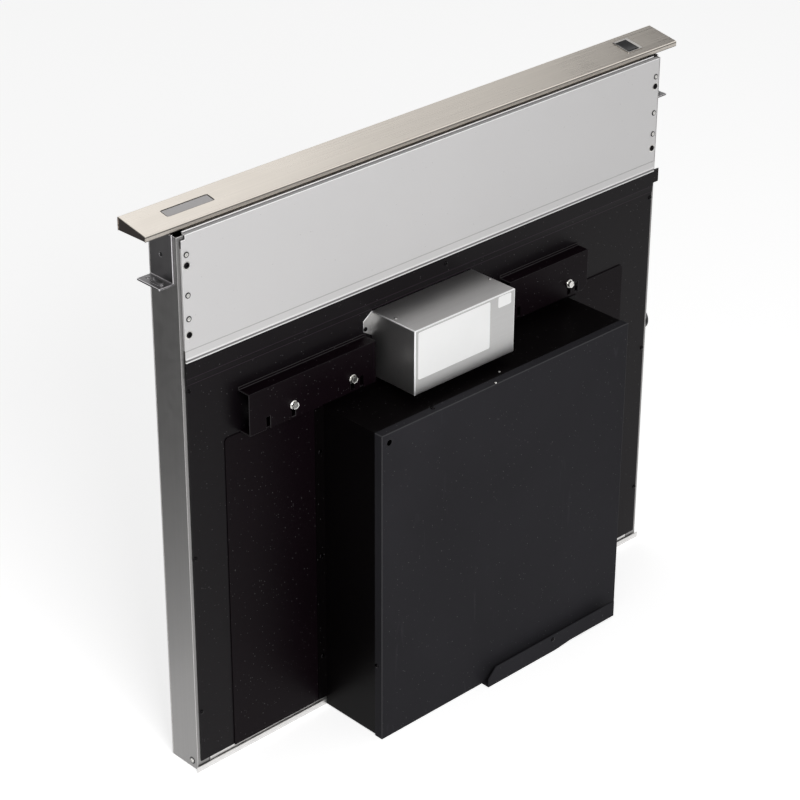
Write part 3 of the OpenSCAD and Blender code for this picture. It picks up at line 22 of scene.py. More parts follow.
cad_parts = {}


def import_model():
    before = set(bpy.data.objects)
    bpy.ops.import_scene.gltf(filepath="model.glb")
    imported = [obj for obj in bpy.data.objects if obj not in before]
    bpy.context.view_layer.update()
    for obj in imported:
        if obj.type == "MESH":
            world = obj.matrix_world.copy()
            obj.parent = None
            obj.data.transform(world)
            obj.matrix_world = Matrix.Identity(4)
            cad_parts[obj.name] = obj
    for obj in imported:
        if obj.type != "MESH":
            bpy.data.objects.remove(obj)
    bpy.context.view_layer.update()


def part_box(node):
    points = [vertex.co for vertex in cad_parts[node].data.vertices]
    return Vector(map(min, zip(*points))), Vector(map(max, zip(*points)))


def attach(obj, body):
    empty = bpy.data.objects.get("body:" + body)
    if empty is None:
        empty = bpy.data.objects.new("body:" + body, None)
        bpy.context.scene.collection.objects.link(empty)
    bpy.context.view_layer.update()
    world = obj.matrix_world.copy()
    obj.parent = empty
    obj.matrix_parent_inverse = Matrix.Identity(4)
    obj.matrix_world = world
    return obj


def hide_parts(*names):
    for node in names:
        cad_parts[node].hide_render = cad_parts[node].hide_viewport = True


LOG = logging.getLogger("downdraft_vent")
MM = 0.001
# Face mask of rounded edges, on which the finishes paint highlight, or shade where the edge factor
# is below one.
EDGE_MARK = "edge_wear"
FACE_NUMBER = "face_before_rounding"
WEIGHT = "bevel_weight_edge"
WELD = 0.002 * MM
SEAM = 0.001 * MM
THICKEST_RIM = 2.2 * MM
SHARPEST_CURVE = math.radians(28)
LENGTH_SHARE = 0.3
ACROSS_SHARE = 0.4
ROUNDING_TRIES = 12
NARROWER = 0.6
FOLD_LIMIT = 1.2 * MM * MM
STANDING = Matrix(((1, 0, 0, 0), (0, 0, -1, 0), (0, 1, 0, 0), (0, 0, 0, 1)))
SIDEWAYS = Matrix(((0, 0, 1, 0), (1, 0, 0, 0), (0, 1, 0, 0), (0, 0, 0, 1)))
Colour = tuple[float, float, float]
Socket = bpy.types.NodeSocket


class Body(Enum):
    """The frame's bodies that carry dressed pieces."""

    CASE = "case"
    RISER = "riser"
    ROCKER = "rocker"
    SCREW = "screw"
    DAMPER = "damper"


class Slot(Enum):
    """The record's material slots."""

    STAINLESS = "brushed_stainless"
    DARK_STAINLESS = "dark_stainless"
    GALVANISED = "galvanised_sheet"
    GREY = "grey_sheet"
    BLACK_COAT = "black_powder_coat"
    PLASTIC = "black_plastic"
    BLACK_SCREW = "black_screws"
    ZINC = "zinc_plated"
    ALUMINIUM = "filter_aluminium"
    NYLON = "nylon"
    BRASS = "bearing_brass"
    MOTOR = "motor_paint"
    BOARD = "circuit_board"
    LABEL = "label_film"
    FELT = "felt"
    RUBBER = "rubber"


class Grain(Enum):
    """The axis that a brushed or rolled grain follows."""

    X = 0
    Y = 1
    Z = 2


class Fold:
    """Widths of the rounding along the folds of each kind of piece."""

    BOX = 1.2 * MM
    BRACKET = 1 * MM
    SHEET = 0.9 * MM
    PAN = 0.8 * MM
    PLATE = 0.7 * MM
    FINE = 0.5 * MM
    FLAP = 0.3 * MM


# Materials


@dataclass(frozen=True)
class LightLine:
    """A fine level line of painted highlight (share above one) or painted shade (share below one)
    where a sheet is folded or a step casts a shadow.
    """

    height: float
    share: float
    width: float = 0.8 * MM

    def above(self, base: float) -> LightLine:
        """Gives the same line measured from a base."""
        return replace(self, height=base + self.height)


class Graph:
    """One material's node tree, built step by step round a Principled shader."""

    def __init__(self, name: str) -> None:
        """Starts a material.

        Args:
            name: Name of the material.
        """
        self.material = bpy.data.materials.new(name)
        self.material.use_nodes = True
        self.tree = self.material.node_tree
        self.tree.nodes.clear()
        self.shader = self.node("ShaderNodeBsdfPrincipled")
        output = self.node("ShaderNodeOutputMaterial")
        self.tree.links.new(self.shader.outputs[0], output.inputs[0])
        self.coordinates = self.node("ShaderNodeTexCoord").outputs["Object"]

    def node(self, kind: str, **settings: Any) -> bpy.types.Node:
        """Adds a node.

        Args:
            kind: The node's type name.
            **settings: Values of the node's own properties.

        Returns:
            The new node.
        """
        made = self.tree.nodes.new(kind)
        for key, value in settings.items():
            setattr(made, key, value)
        return made

    def put(self, socket: Socket, value: Socket | float | Colour) -> None:
        """Links a socket to another one, or gives it a plain value.

        Args:
            socket: The input socket.
            value: An output socket, a number or a colour.
        """
        if isinstance(value, bpy.types.NodeSocket):
            self.tree.links.new(value, socket)
        elif isinstance(value, tuple) and socket.type == "RGBA":
            socket.default_value = (*value, 1.0)
        else:
            socket.default_value = value

    def set(self, **values: Socket | float | Colour) -> None:
        """Sets the shader's inputs, named with underscores for their spaces.

        Args:
            **values: What each input is linked to or holds.
        """
        names = {s.name.lower().replace(" ", "_"): s for s in self.shader.inputs}
        for key, value in values.items():
            self.put(names[key], value)

    def place(self, scale: Colour) -> Socket:
        """Scales the piece's own coordinates.

        Args:
            scale: Pattern repeats per metre along each axis.

        Returns:
            The scaled coordinates.
        """
        mapping = self.node("ShaderNodeMapping")
        mapping.inputs["Scale"].default_value = scale
        self.put(mapping.inputs["Vector"], self.coordinates)
        return mapping.outputs[0]

    def noise(self, scale: Colour, detail: float = 3.0, twist: float = 0.0) -> Socket:
        """Adds a soft random pattern.

        Args:
            scale: Pattern repeats per metre along each axis.
            detail: Number of finer layers.
            twist: How much the pattern is bent by itself.

        Returns:
            A number round 0.5.
        """
        made = self.node("ShaderNodeTexNoise")
        made.inputs["Scale"].default_value = 1.0
        made.inputs["Detail"].default_value = detail
        made.inputs["Distortion"].default_value = twist
        self.put(made.inputs["Vector"], self.place(scale))
        return made.outputs["Fac"]

    def cells(self, scale: Colour) -> tuple[Socket, Socket]:
        """Adds a pattern of random cells.

        Args:
            scale: Cells per metre along each axis.

        Returns:
            The distance to the cell's centre, and a random number for each cell.
        """
        made = self.node("ShaderNodeTexVoronoi")
        made.inputs["Scale"].default_value = 1.0
        self.put(made.inputs["Vector"], self.place(scale))
        split = self.node("ShaderNodeSeparateColor")
        self.put(split.inputs[0], made.outputs["Color"])
        return made.outputs["Distance"], split.outputs[0]

    def maths(self, operation: str, first: Socket | float, second: Socket | float = 0.0) -> Socket:
        """Adds one sum.

        Args:
            operation: Name of the sum, such as MULTIPLY.
            first: First value.
            second: Second value.

        Returns:
            The result.
        """
        made = self.node("ShaderNodeMath", operation=operation)
        self.put(made.inputs[0], first)
        self.put(made.inputs[1], second)
        return made.outputs[0]

    def span(self, value: Socket, low: float, high: float,
             start: float = 0.3, end: float = 0.7) -> Socket:
        """Stretches a pattern to a range of values.

        Args:
            value: The pattern.
            low: Result where the pattern is at start.
            high: Result where the pattern is at end.
            start: Lower end of the pattern's own range.
            end: Upper end of the pattern's own range.

        Returns:
            The stretched pattern.
        """
        made = self.node("ShaderNodeMapRange")
        self.put(made.inputs["Value"], value)
        for name, number in (("From Min", start), ("From Max", end),
                             ("To Min", low), ("To Max", high)):
            made.inputs[name].default_value = number
        return made.outputs["Result"]

    def blend(self, factor: Socket | float, first: Socket | Colour,
              second: Socket | Colour) -> Socket:
        """Mixes two colours.

        Args:
            factor: Share of the second colour.
            first: First colour.
            second: Second colour.

        Returns:
            The mixed colour.
        """
        made = self.node("ShaderNodeMix", data_type="RGBA")
        self.put(made.inputs[0], factor)
        self.put(made.inputs[6], first)
        self.put(made.inputs[7], second)
        return made.outputs[2]

    def paint_edge_light(self, tone: Socket, edge: Colour) -> Socket:
        """Paints highlight, or shade where the edge colour is darker, on the rounded edges."""
        mark = self.node("ShaderNodeAttribute", attribute_name=EDGE_MARK)
        return self.blend(mark.outputs["Fac"], tone, edge)

    def paint_light_lines(self, tone: Socket, colour: Colour, light_lines: tuple[LightLine, ...]) -> Socket:
        """Paints fine level lines of highlight and shade across the piece.

        Args:
            tone: Colour of the faces.
            colour: The finish's plain colour.
            light_lines: The lines.

        Returns:
            The colour with its lines.
        """
        for light_line in light_lines:
            split = self.node("ShaderNodeSeparateXYZ")
            self.put(split.inputs[0], self.coordinates)
            away = self.maths("ABSOLUTE", self.maths("SUBTRACT", split.outputs[2], light_line.height))
            mask = self.maths("LESS_THAN", away, light_line.width / 2)
            tone = self.blend(mask, tone, shade(colour, light_line.share))
        return tone

    def bump(self, height: Socket, depth: float) -> None:
        """Turns a pattern into a fine relief of the surface.

        Args:
            height: The pattern.
            depth: Depth of the relief in metres.
        """
        made = self.node("ShaderNodeBump")
        made.inputs["Distance"].default_value = depth
        self.put(made.inputs["Height"], height)
        self.put(self.shader.inputs["Normal"], made.outputs[0])


def shade(colour: Colour, share: float) -> Colour:
    """Makes a colour lighter or darker by a factor on its brightness."""
    return (colour[0] * share, colour[1] * share, colour[2] * share)


def along(grain: Grain, with_it: float, across: float) -> Colour:
    """Gives the scale of a pattern that is drawn out along one axis.

    Args:
        grain: The axis.
        with_it: Repeats per metre along the axis.
        across: Repeats per metre across it.

    Returns:
        The scale along each axis.
    """
    scale = [across] * 3
    scale[grain.value] = with_it
    return (scale[0], scale[1], scale[2])


class Finish:
    """A look that can be made into a material."""

    def material(self, name: str) -> bpy.types.Material:
        """Builds the material.

        Args:
            name: Name of the material.

        Returns:
            The material.
        """
        g = Graph(name)
        self.paint(g)
        return g.material

    def paint(self, g: Graph) -> None:
        """Lays the look's own nodes."""
        raise NotImplementedError


@dataclass(frozen=True)
class BrushedSteel(Finish):
    """Stainless sheet with a fine grain, faint handling marks and satin gloss."""

    colour: Colour
    grain: Grain = Grain.X
    roughness: float = 0.3
    # edge: factor on the colour of rounded edges, painted highlight above one and painted shade
    # below one.
    edge: float = 1.4
    light_lines: tuple[LightLine, ...] = ()
    relief: float = 0.012 * MM

    def paint(self, g: Graph) -> None:
        """Lays a fine grain, handling marks, painted edge highlight or shade, and painted lines of
        highlight and shade along folds.

        Args:
            g: The material's nodes.
        """
        fine = g.noise(along(self.grain, 5.0, 1500.0), 2.0)
        broad = g.noise(along(self.grain, 1.6, 160.0), 2.0)
        marks = g.noise((9.0, 14.0, 11.0), 4.0, 0.6)
        tone = g.blend(g.span(fine, 0.0, 1.0), shade(self.colour, 0.93), shade(self.colour, 1.06))
        tone = g.blend(g.span(broad, 0.0, 0.2), tone, shade(self.colour, 1.08))
        # Painted highlight or shade on rounded edges, and painted highlight and shade lines along
        # folds.
        tone = g.paint_light_lines(g.paint_edge_light(tone, shade(self.colour, self.edge)), self.colour, self.light_lines)
        rough = g.maths("ADD", g.span(fine, -0.045, 0.045), g.span(marks, -0.03, 0.05))
        g.set(base_color=tone, metallic=1.0, roughness=g.maths("ADD", rough, self.roughness))
        g.bump(g.maths("ADD", fine, g.maths("MULTIPLY", broad, 0.5)), self.relief)


@dataclass(frozen=True)
class GalvanisedSheet(Finish):
    """Zinc-coated sheet: flat crystals a few millimetres wide under a rolled grain."""

    colour: Colour
    grain: Grain = Grain.Z
    roughness: float = 0.4
    crystal: float = 150.0
    # edge: factor on the colour of rounded edges, a painted highlight.
    edge: float = 1.45
    spangle: float = 0.05
    relief: float = 0.01 * MM

    def paint(self, g: Graph) -> None:
        """Lays flat crystals, a rolled grain and painted highlights on rounded edges.

        Args:
            g: The material's nodes.
        """
        _, kind = g.cells((self.crystal, self.crystal, self.crystal))
        rolled = g.noise(along(self.grain, 3.0, 420.0), 3.0)
        cloud = g.noise((7.0, 7.0, 5.0), 4.0, 0.4)
        tone = g.blend(g.span(kind, 0.0, 1.0, 0.0, 1.0),
                       shade(self.colour, 1 - self.spangle), shade(self.colour, 1 + self.spangle))
        tone = g.blend(g.span(rolled, 0.0, 0.4), tone, shade(self.colour, 0.88))
        tone = g.blend(g.span(cloud, 0.0, 0.3), tone, shade(self.colour, 1.06))
        tone = g.paint_edge_light(tone, shade(self.colour, self.edge))
        rough = g.maths("ADD", g.span(kind, -self.spangle, self.spangle, 0.0, 1.0),
                        g.span(cloud, -self.spangle, self.spangle))
        g.set(base_color=tone, metallic=1.0, roughness=g.maths("ADD", rough, self.roughness))
        g.bump(rolled, self.relief)


@dataclass(frozen=True)
class PowderCoat(Finish):
    """Baked coat with an orange peel, a little dust and faint rubs."""

    colour: Colour
    roughness: float = 0.42
    gloss: float = 0.13
    dust: float = 0.10
    dust_share: float = 0.10
    peel: float = 0.05
    rub: float = 2.2
    # edge: added to the colour of rounded edges, a painted highlight.
    edge: float = 0.03
    cloud: float = 0.15
    light_lines: tuple[LightLine, ...] = ()

    def paint(self, g: Graph) -> None:
        """Lays an orange peel, dust, rubs, painted edge highlights, and painted highlight and shade
        lines along folds and steps.

        Args:
            g: The material's nodes.
        """
        peel = g.noise((900.0, 900.0, 900.0), 1.0)
        cloud = g.noise((6.0, 8.0, 5.0), 4.0, 0.5)
        rubs = g.noise((60.0, 30.0, 9.0), 5.0, 1.2)
        distance, chance = g.cells((430.0, 430.0, 430.0))
        speck = g.maths("MULTIPLY", g.maths("LESS_THAN", distance, 0.2),
                        g.span(chance, 1.0, 0.0, 0.0, self.dust_share))
        tone = g.blend(g.span(cloud, 0.0, 1.0), shade(self.colour, 1 - self.cloud),
                       shade(self.colour, 1 + self.cloud))
        tone = g.blend(g.span(rubs, 0.0, 0.5, 0.66, 0.8), tone, shade(self.colour, self.rub))
        # pale is the dust colour; edge is the painted highlight colour of rounded edges.
        pale, edge = (tuple(c + more for c in self.colour) for more in (self.dust, self.edge))
        tone = g.paint_edge_light(g.blend(speck, tone, pale), edge)
        tone = g.paint_light_lines(tone, self.colour, self.light_lines)
        rough = g.maths("ADD", g.span(cloud, -self.cloud / 3, self.cloud / 3),
                        g.span(peel, -0.03, 0.03))
        g.set(base_color=tone, roughness=g.maths("ADD", rough, self.roughness),
              specular_ior_level=self.gloss)
        g.bump(peel, self.peel * MM)


@dataclass(frozen=True)
class Moulded(Finish):
    """Moulded plastic, rubber or nylon with a fine even texture."""

    colour: Colour
    roughness: float = 0.45
    gloss: float = 0.4
    texture: float = 1400.0
    depth: float = 0.02
    glow: float = 0.0
    cloud: float = 0.08

    def paint(self, g: Graph) -> None:
        """Lays a fine even texture.

        Args:
            g: The material's nodes.
        """
        texture = g.noise((self.texture,) * 3, 2.0)
        cloud = g.noise((30.0, 30.0, 30.0), 3.0)
        tone = g.blend(g.span(cloud, 0.0, 1.0), shade(self.colour, 1 - self.cloud),
                       shade(self.colour, 1 + self.cloud))
        g.set(base_color=tone, specular_ior_level=self.gloss, subsurface_weight=self.glow,
              roughness=g.maths("ADD", g.span(texture, -0.05, 0.05), self.roughness))
        g.bump(texture, self.depth * MM)


@dataclass(frozen=True)
class PlatedMetal(Finish):
    """Plated or bare metal of a small turned or pressed part."""

    colour: Colour
    roughness: float = 0.28
    stain: float = 0.8
    # edge: factor on the colour of rounded edges, a painted highlight.
    edge: float = 1.25
    relief: float = 0.01 * MM

    def paint(self, g: Graph) -> None:
        """Lays a fine grain, stains and painted highlights on its edges.

        Args:
            g: The material's nodes.
        """
        fine = g.noise((1800.0, 1800.0, 1800.0), 2.0)
        cloud = g.noise((260.0, 260.0, 260.0), 3.0, 0.4)
        tone = g.blend(g.span(cloud, 0.0, 1.0), shade(self.colour, self.stain), self.colour)
        tone = g.paint_edge_light(tone, shade(self.colour, self.edge))
        rough = g.maths("ADD", g.span(fine, -0.04, 0.04), g.span(cloud, 0.05, -0.05))
        g.set(base_color=tone, metallic=1.0, roughness=g.maths("ADD", rough, self.roughness))
        g.bump(fine, self.relief)


@dataclass(frozen=True)
class CircuitBoard(Finish):
    """Green board with a lighter pattern of copper under its lacquer."""

    colour: Colour = (0.012, 0.09, 0.035)
    track: Colour = (0.03, 0.17, 0.06)
    relief: float = 0.03 * MM

    def paint(self, g: Graph) -> None:
        """Lays the copper tracks.

        Args:
            g: The material's nodes.
        """
        distance, _ = g.cells((260.0, 260.0, 260.0))
        fine = g.noise((400.0, 400.0, 30.0), 1.0)
        tracks = g.maths("LESS_THAN", distance, g.span(fine, 0.25, 0.5))
        g.set(base_color=g.blend(tracks, self.colour, self.track), roughness=0.3)
        g.bump(tracks, self.relief)


@dataclass(frozen=True)
class Felt(Finish):
    """Pressed fibres."""

    colour: Colour = (0.05, 0.05, 0.055)
    relief: float = 0.15 * MM

    def paint(self, g: Graph) -> None:
        """Lays the fibres.

        Args:
            g: The material's nodes.
        """
        fibres = g.noise((500.0, 2400.0, 2400.0), 4.0, 1.5)
        tone = g.blend(g.span(fibres, 0.0, 1.0), shade(self.colour, 0.6), shade(self.colour, 1.6))
        g.set(base_color=tone, roughness=0.95, sheen_weight=0.4)
        g.bump(fibres, self.relief)


# Edge values paint highlight on rounded edges; a factor below one, as on the stainless, paints
# shade there.
FINISHES = {
    Slot.STAINLESS: BrushedSteel((0.66, 0.612, 0.553), edge=0.3),
    # A darker copy of the stainless: painted shade for the worktop brackets, whose faces turn away
    # from the light.
    Slot.DARK_STAINLESS: BrushedSteel((0.20, 0.195, 0.20), Grain.Z, 0.36, 3.6),
    # Darker than plain galvanised sheet: painted shade for the side and back panels, which face
    # away from the light.
    Slot.GALVANISED: GalvanisedSheet((0.285, 0.28, 0.277), edge=2.5, spangle=0.02),
    Slot.GREY: PowderCoat((0.66, 0.65, 0.65), 0.36, 0.4, -0.25, 0.02, 0.03, 1.0, 0.3, 0.012),
    Slot.BLACK_COAT: PowderCoat((0.0036, 0.0024, 0.0034), gloss=0.115),
    Slot.PLASTIC: Moulded((0.012, 0.012, 0.013)),
    Slot.BLACK_SCREW: PlatedMetal((0.012, 0.011, 0.012), 0.2),
    Slot.ZINC: PlatedMetal((0.78, 0.77, 0.74)),
    Slot.ALUMINIUM: PlatedMetal((0.70, 0.71, 0.72), 0.34),
    Slot.NYLON: Moulded((0.70, 0.68, 0.60), 0.4, 0.4, 600.0, 0.01, 0.15),
    Slot.BRASS: PlatedMetal((0.68, 0.49, 0.20), 0.3),
    Slot.MOTOR: PowderCoat((0.085, 0.09, 0.10), 0.38, 0.5, 0.04, 0.03, 0.03, 1.2, 0.05),
    Slot.BOARD: CircuitBoard(),
    Slot.LABEL: Moulded((0.97, 0.97, 0.965), 0.55, 0.3, 260.0, 0.006, cloud=0.012),
    Slot.FELT: Felt(),
    Slot.RUBBER: Moulded((0.015, 0.015, 0.015), 0.75, 0.25, 700.0, 0.05),
}


# Meshes


def shown(name: str, mesh: bpy.types.Mesh) -> bpy.types.Object:
    """Puts a mesh into the scene.

    Args:
        name: Name of the object.
        mesh: Its mesh.

    Returns:
        The object.
    """
    made = bpy.data.objects.new(name, mesh)
    bpy.context.scene.collection.objects.link(made)
    return made


def from_bmesh(name: str, shape: bmesh.types.BMesh) -> bpy.types.Object:
    """Turns a finished bmesh into an object with faces that point outwards.

    Args:
        name: Name of the object.
        shape: The bmesh, which is freed.

    Returns:
        The object.
    """
    bmesh.ops.remove_doubles(shape, verts=shape.verts, dist=SEAM)
    bmesh.ops.recalc_face_normals(shape, faces=shape.faces)
    mesh = bpy.data.meshes.new(name)
    shape.to_mesh(mesh)
    shape.free()
    return shown(name, mesh)


@contextmanager
def edited(piece: bpy.types.Object) -> Iterator[bmesh.types.BMesh]:
    """Opens a piece's mesh for changes, and writes them back at the end.

    Args:
        piece: The piece.

    Yields:
        The open mesh.
    """
    shape = bmesh.new()
    shape.from_mesh(piece.data)
    yield shape
    shape.to_mesh(piece.data)
    shape.free()


def bake(piece: bpy.types.Object) -> None:
    """Turns a piece's modifiers into its plain mesh.

    Args:
        piece: The piece.
    """
    graph = bpy.context.evaluated_depsgraph_get()
    mesh = bpy.data.meshes.new_from_object(piece.evaluated_get(graph))
    old = piece.data
    piece.modifiers.clear()
    piece.data = mesh
    bpy.data.meshes.remove(old)


def is_rim(face: bmesh.types.BMFace, sheet: float) -> bool:
    """Tells a sheet's cut edge, narrower than the given width, from its broad faces."""
    return 2.0 * face.calc_area() / face.calc_perimeter() < sheet


def room_for(edge: bmesh.types.BMEdge) -> float:
    """Gives the widest rounding that the faces beside an edge leave room for.

    Args:
        edge: The edge.

    Returns:
        The width in metres.
    """
    room = LENGTH_SHARE * edge.calc_length()
    run = (edge.verts[1].co - edge.verts[0].co).normalized()
    for loop in edge.link_loops:
        for near in (loop.link_loop_prev.edge, loop.link_loop_next.edge):
            reach = near.verts[1].co - near.verts[0].co
            across = reach.cross(run).length
            if across > LENGTH_SHARE * reach.length:
                room = min(room, ACROSS_SHARE * across)
    return room


def round_edges(piece: bpy.types.Object, width: float, rim_share: float = 0.3,
                sheet: float = THICKEST_RIM, segments: int = 3) -> None:
    """Rounds a piece's sharp edges: its folds widely and its cut edges finely.

    Args:
        piece: The piece, whose doubles are merged already.
        width: Width of the rounding along a fold.
        rim_share: Share of that width at cut edges and inner corners.
        sheet: Widest cut edge in metres.
        segments: Steps of the rounding.
    """
    with edited(piece) as shape:
        number = shape.faces.layers.int.new(FACE_NUMBER)
        for face in shape.faces:
            face[number] = face.index
        weights = shape.edges.layers.float.new(WEIGHT)
        for edge in shape.edges:
            if len(edge.link_faces) != 2 or edge.calc_face_angle(0.0) < SHARPEST_CURVE:
                continue
            fold = edge.is_convex and not any(is_rim(f, sheet) for f in edge.link_faces)
            wanted = width if fold else width * rim_share
            edge[weights] = min(wanted, room_for(edge)) / width
    piece.data.materials.clear()
    for _ in range(2):
        piece.data.materials.append(None)
    plain = piece.data.copy()
    for _ in range(ROUNDING_TRIES):
        bevel = piece.modifiers.new("rounding", "BEVEL")
        bevel.limit_method = "WEIGHT"
        bevel.width = width
        bevel.use_clamp_overlap = False
        bevel.segments = segments
        bevel.miter_outer = "MITER_ARC"
        bevel.material = 1
        bake(piece)
        folded = folded_faces(piece.data)
        if not folded:
            break
        for face in (plain.polygons[index] for index in folded):
            for i in {plain.loops[j].edge_index for j in face.loop_indices}:
                plain.attributes[WEIGHT].data[i].value *= NARROWER
        piece.data = plain.copy()
    mark_edges(piece)
    smooth(piece)


def folded_faces(mesh: bpy.types.Mesh) -> set[int]:
    """Finds the faces that a rounding has turned over themselves.

    Args:
        mesh: The rounded mesh.

    Returns:
        The numbers that those faces had before the rounding.
    """
    mesh.calc_loop_triangles()
    spread = [0.0] * len(mesh.polygons)
    for triangle in mesh.loop_triangles:
        spread[triangle.polygon_index] += triangle.area
    numbers = mesh.attributes[FACE_NUMBER].data
    return {numbers[face.index].value for face in mesh.polygons
            if spread[face.index] - face.area > FOLD_LIMIT}


def mark_edges(piece: bpy.types.Object) -> None:
    """Keeps which faces are rounded edges, for the finishes to paint highlight or shade on them.

    Args:
        piece: The piece, whose edge faces have the second material.
    """
    faces = piece.data.polygons
    marks = [0] * len(faces)
    faces.foreach_get("material_index", marks)
    faces.foreach_set("material_index", [0] * len(faces))
    edge_light_mask = piece.data.attributes.new(EDGE_MARK, "FLOAT", "FACE")
    edge_light_mask.data.foreach_set("value", [float(mark) for mark in marks])


def smooth(piece: bpy.types.Object, angle: float = 32.0) -> None:
    """Shades a piece smoothly up to an angle, with its flat faces kept flat.

    Args:
        piece: The piece.
        angle: Edges sharper than this angle in degrees stay sharp.
    """
    piece.data.shade_smooth()
    piece.data.set_sharp_from_angle(angle=math.radians(angle))
    weighted = piece.modifiers.new("weighted", "WEIGHTED_NORMAL")
    weighted.keep_sharp = True
    bake(piece)


def copy_of(node: str, name: str, flat: float = 0.6) -> bpy.types.Object:
    """Copies a construction piece as a clean mesh of whole faces.

    Args:
        node: Name of the construction piece.
        name: Name of the copy.
        flat: Faces that meet at less than this angle in degrees are merged.

    Returns:
        The copy.
    """
    shape = bmesh.new()
    shape.from_mesh(bpy.data.objects[node].data)
    bmesh.ops.remove_doubles(shape, verts=shape.verts, dist=WELD)
    bmesh.ops.dissolve_limit(shape, angle_limit=math.radians(flat),
                             verts=shape.verts, edges=shape.edges)
    return from_bmesh(name, shape)


def slab(shape: bmesh.types.BMesh, points: list[Vector], low: float, high: float,
         place: Matrix = Matrix.Identity(4)) -> None:
    """Adds a closed slab between two heights.

    Args:
        shape: The bmesh that it is added to.
        points: Outline in X and Y.
        low: Height of its lower face.
        high: Height of its upper face.
        place: Where the slab goes.
    """
    rings = [[shape.verts.new(place @ Vector((p.x, p.y, z))) for p in points]
             for z in (low, high)]
    shape.faces.new(rings[0][::-1])
    shape.faces.new(rings[1])
    for i in range(len(points)):
        j = (i + 1) % len(points)
        shape.faces.new((rings[0][i], rings[0][j], rings[1][j], rings[1][i]))


def rounded_rectangle(length: float, width: float, radius: float, steps: int = 5,
                      centre: tuple[float, float] = (0.0, 0.0)) -> list[Vector]:
    """Gives the outline of a rectangle with round corners.

    Args:
        length: Size along X.
        width: Size along Y.
        radius: Radius of the corners.
        steps: Steps round each corner.
        centre: Centre of the rectangle.

    Returns:
        The outline's points.
    """
    points = []
    for quarter in range(4):
        side_x = 1 if quarter in (0, 3) else -1
        side_y = 1 if quarter in (0, 1) else -1
        for step in range(steps + 1):
            turn = math.pi / 2 * (quarter + step / steps)
            points.append(Vector((
                centre[0] + side_x * (length / 2 - radius) + radius * math.cos(turn),
                centre[1] + side_y * (width / 2 - radius) + radius * math.sin(turn))))
    return points


def circle(radius: float, steps: int,
           centre: tuple[float, float] = (0.0, 0.0)) -> list[Vector]:
    """Gives a round outline.

    Args:
        radius: Its radius.
        steps: Number of its points.
        centre: Its centre.

    Returns:
        The outline's points.
    """
    turns = [2 * math.pi * i / steps for i in range(steps)]
    return [Vector((centre[0] + radius * math.cos(turn), centre[1] + radius * math.sin(turn)))
            for turn in turns]


def bent_line(corners: list[Vector], radius: float, steps: int = 6) -> list[Vector]:
    """Rounds the inner corners of a folded sheet's middle line.

    Args:
        corners: The line's ends and corners.
        radius: Radius of each bend.
        steps: Steps round each bend.

    Returns:
        The line with its bends.
    """
    line = [corners[0]]
    for before, corner, after in zip(corners, corners[1:], corners[2:]):
        u, v = (before - corner).normalized(), (after - corner).normalized()
        half = u.angle(v) / 2
        middle = corner + (u + v).normalized() * radius / math.sin(half)
        start = corner + u * radius / math.tan(half) - middle
        end = corner + v * radius / math.tan(half) - middle
        for step in range(steps + 1):
            arm = start.lerp(end, step / steps).normalized() * radius
            line.append(middle + arm)
    return line + [corners[-1]]


def sheet_outline(line: list[Vector], thickness: float) -> list[Vector]:
    """Gives the closed outline of a sheet that follows a middle line.

    Args:
        line: The middle line.
        thickness: Thickness of the sheet.

    Returns:
        The outline's points.
    """
    sides: tuple[list[Vector], list[Vector]] = ([], [])
    for i, point in enumerate(line):
        step = line[min(i + 1, len(line) - 1)] - line[max(i - 1, 0)]
        normal = Vector((-step.y, step.x)).normalized() * thickness / 2
        sides[0].append(point + normal)
        sides[1].append(point - normal)
    return sides[0] + sides[1][::-1]


def ring(name: str, outer: list[Vector], inner: list[Vector], outside: tuple[float, float],
         inside: tuple[float, float], place: Matrix) -> bpy.types.Object:
    """Makes a frame between two outlines with as many points each.

    Args:
        name: Name of the piece.
        outer: Outer outline.
        inner: Inner outline.
        outside: Lowest and highest point of its outer side.
        inside: Lowest and highest point of its inner side.
        place: Where it goes.

    Returns:
        The piece.
    """
    shape = bmesh.new()
    loops = [[shape.verts.new(place @ Vector((p.x, p.y, z))) for p in outline]
             for outline, z in ((outer, outside[0]), (outer, outside[1]),
                                (inner, inside[1]), (inner, inside[0]))]
    for here, there in zip(loops, loops[1:] + loops[:1]):
        for i in range(len(outer)):
            j = (i + 1) % len(outer)
            shape.faces.new((here[i], here[j], there[j], there[i]))
    return from_bmesh(name, shape)


def cut(piece: bpy.types.Object, tool: bpy.types.Object) -> None:
    """Cuts a tool's shape out of a piece, and removes the tool.

    Args:
        piece: The piece.
        tool: The tool.
    """
    modifier = piece.modifiers.new("cut", "BOOLEAN")
    modifier.operation = "DIFFERENCE"
    modifier.solver = "EXACT"
    modifier.object = tool
    bake(piece)
    bpy.data.objects.remove(tool)


def turned(name: str, profile: list[tuple[float, float]], sides: int = 24) -> bpy.types.Object:
    """Turns a profile round the Z axis.

    Args:
        name: Name of the object.
        profile: Radius and height of each point, from the axis to the axis.
        sides: Number of sides.

    Returns:
        The object.
    """
    shape = bmesh.new()
    rings = [[shape.verts.new((point.x, point.y, height))
              for point in circle(radius, sides if radius > 0 else 1)]
             for radius, height in profile]
    for lower, upper in zip(rings, rings[1:]):
        for i in range(sides):
            j = (i + 1) % sides
            corners = [lower[i % len(lower)], lower[j % len(lower)],
                       upper[j % len(upper)], upper[i % len(upper)]]
            shape.faces.new(list(dict.fromkeys(corners)))
    return from_bmesh(name, shape)


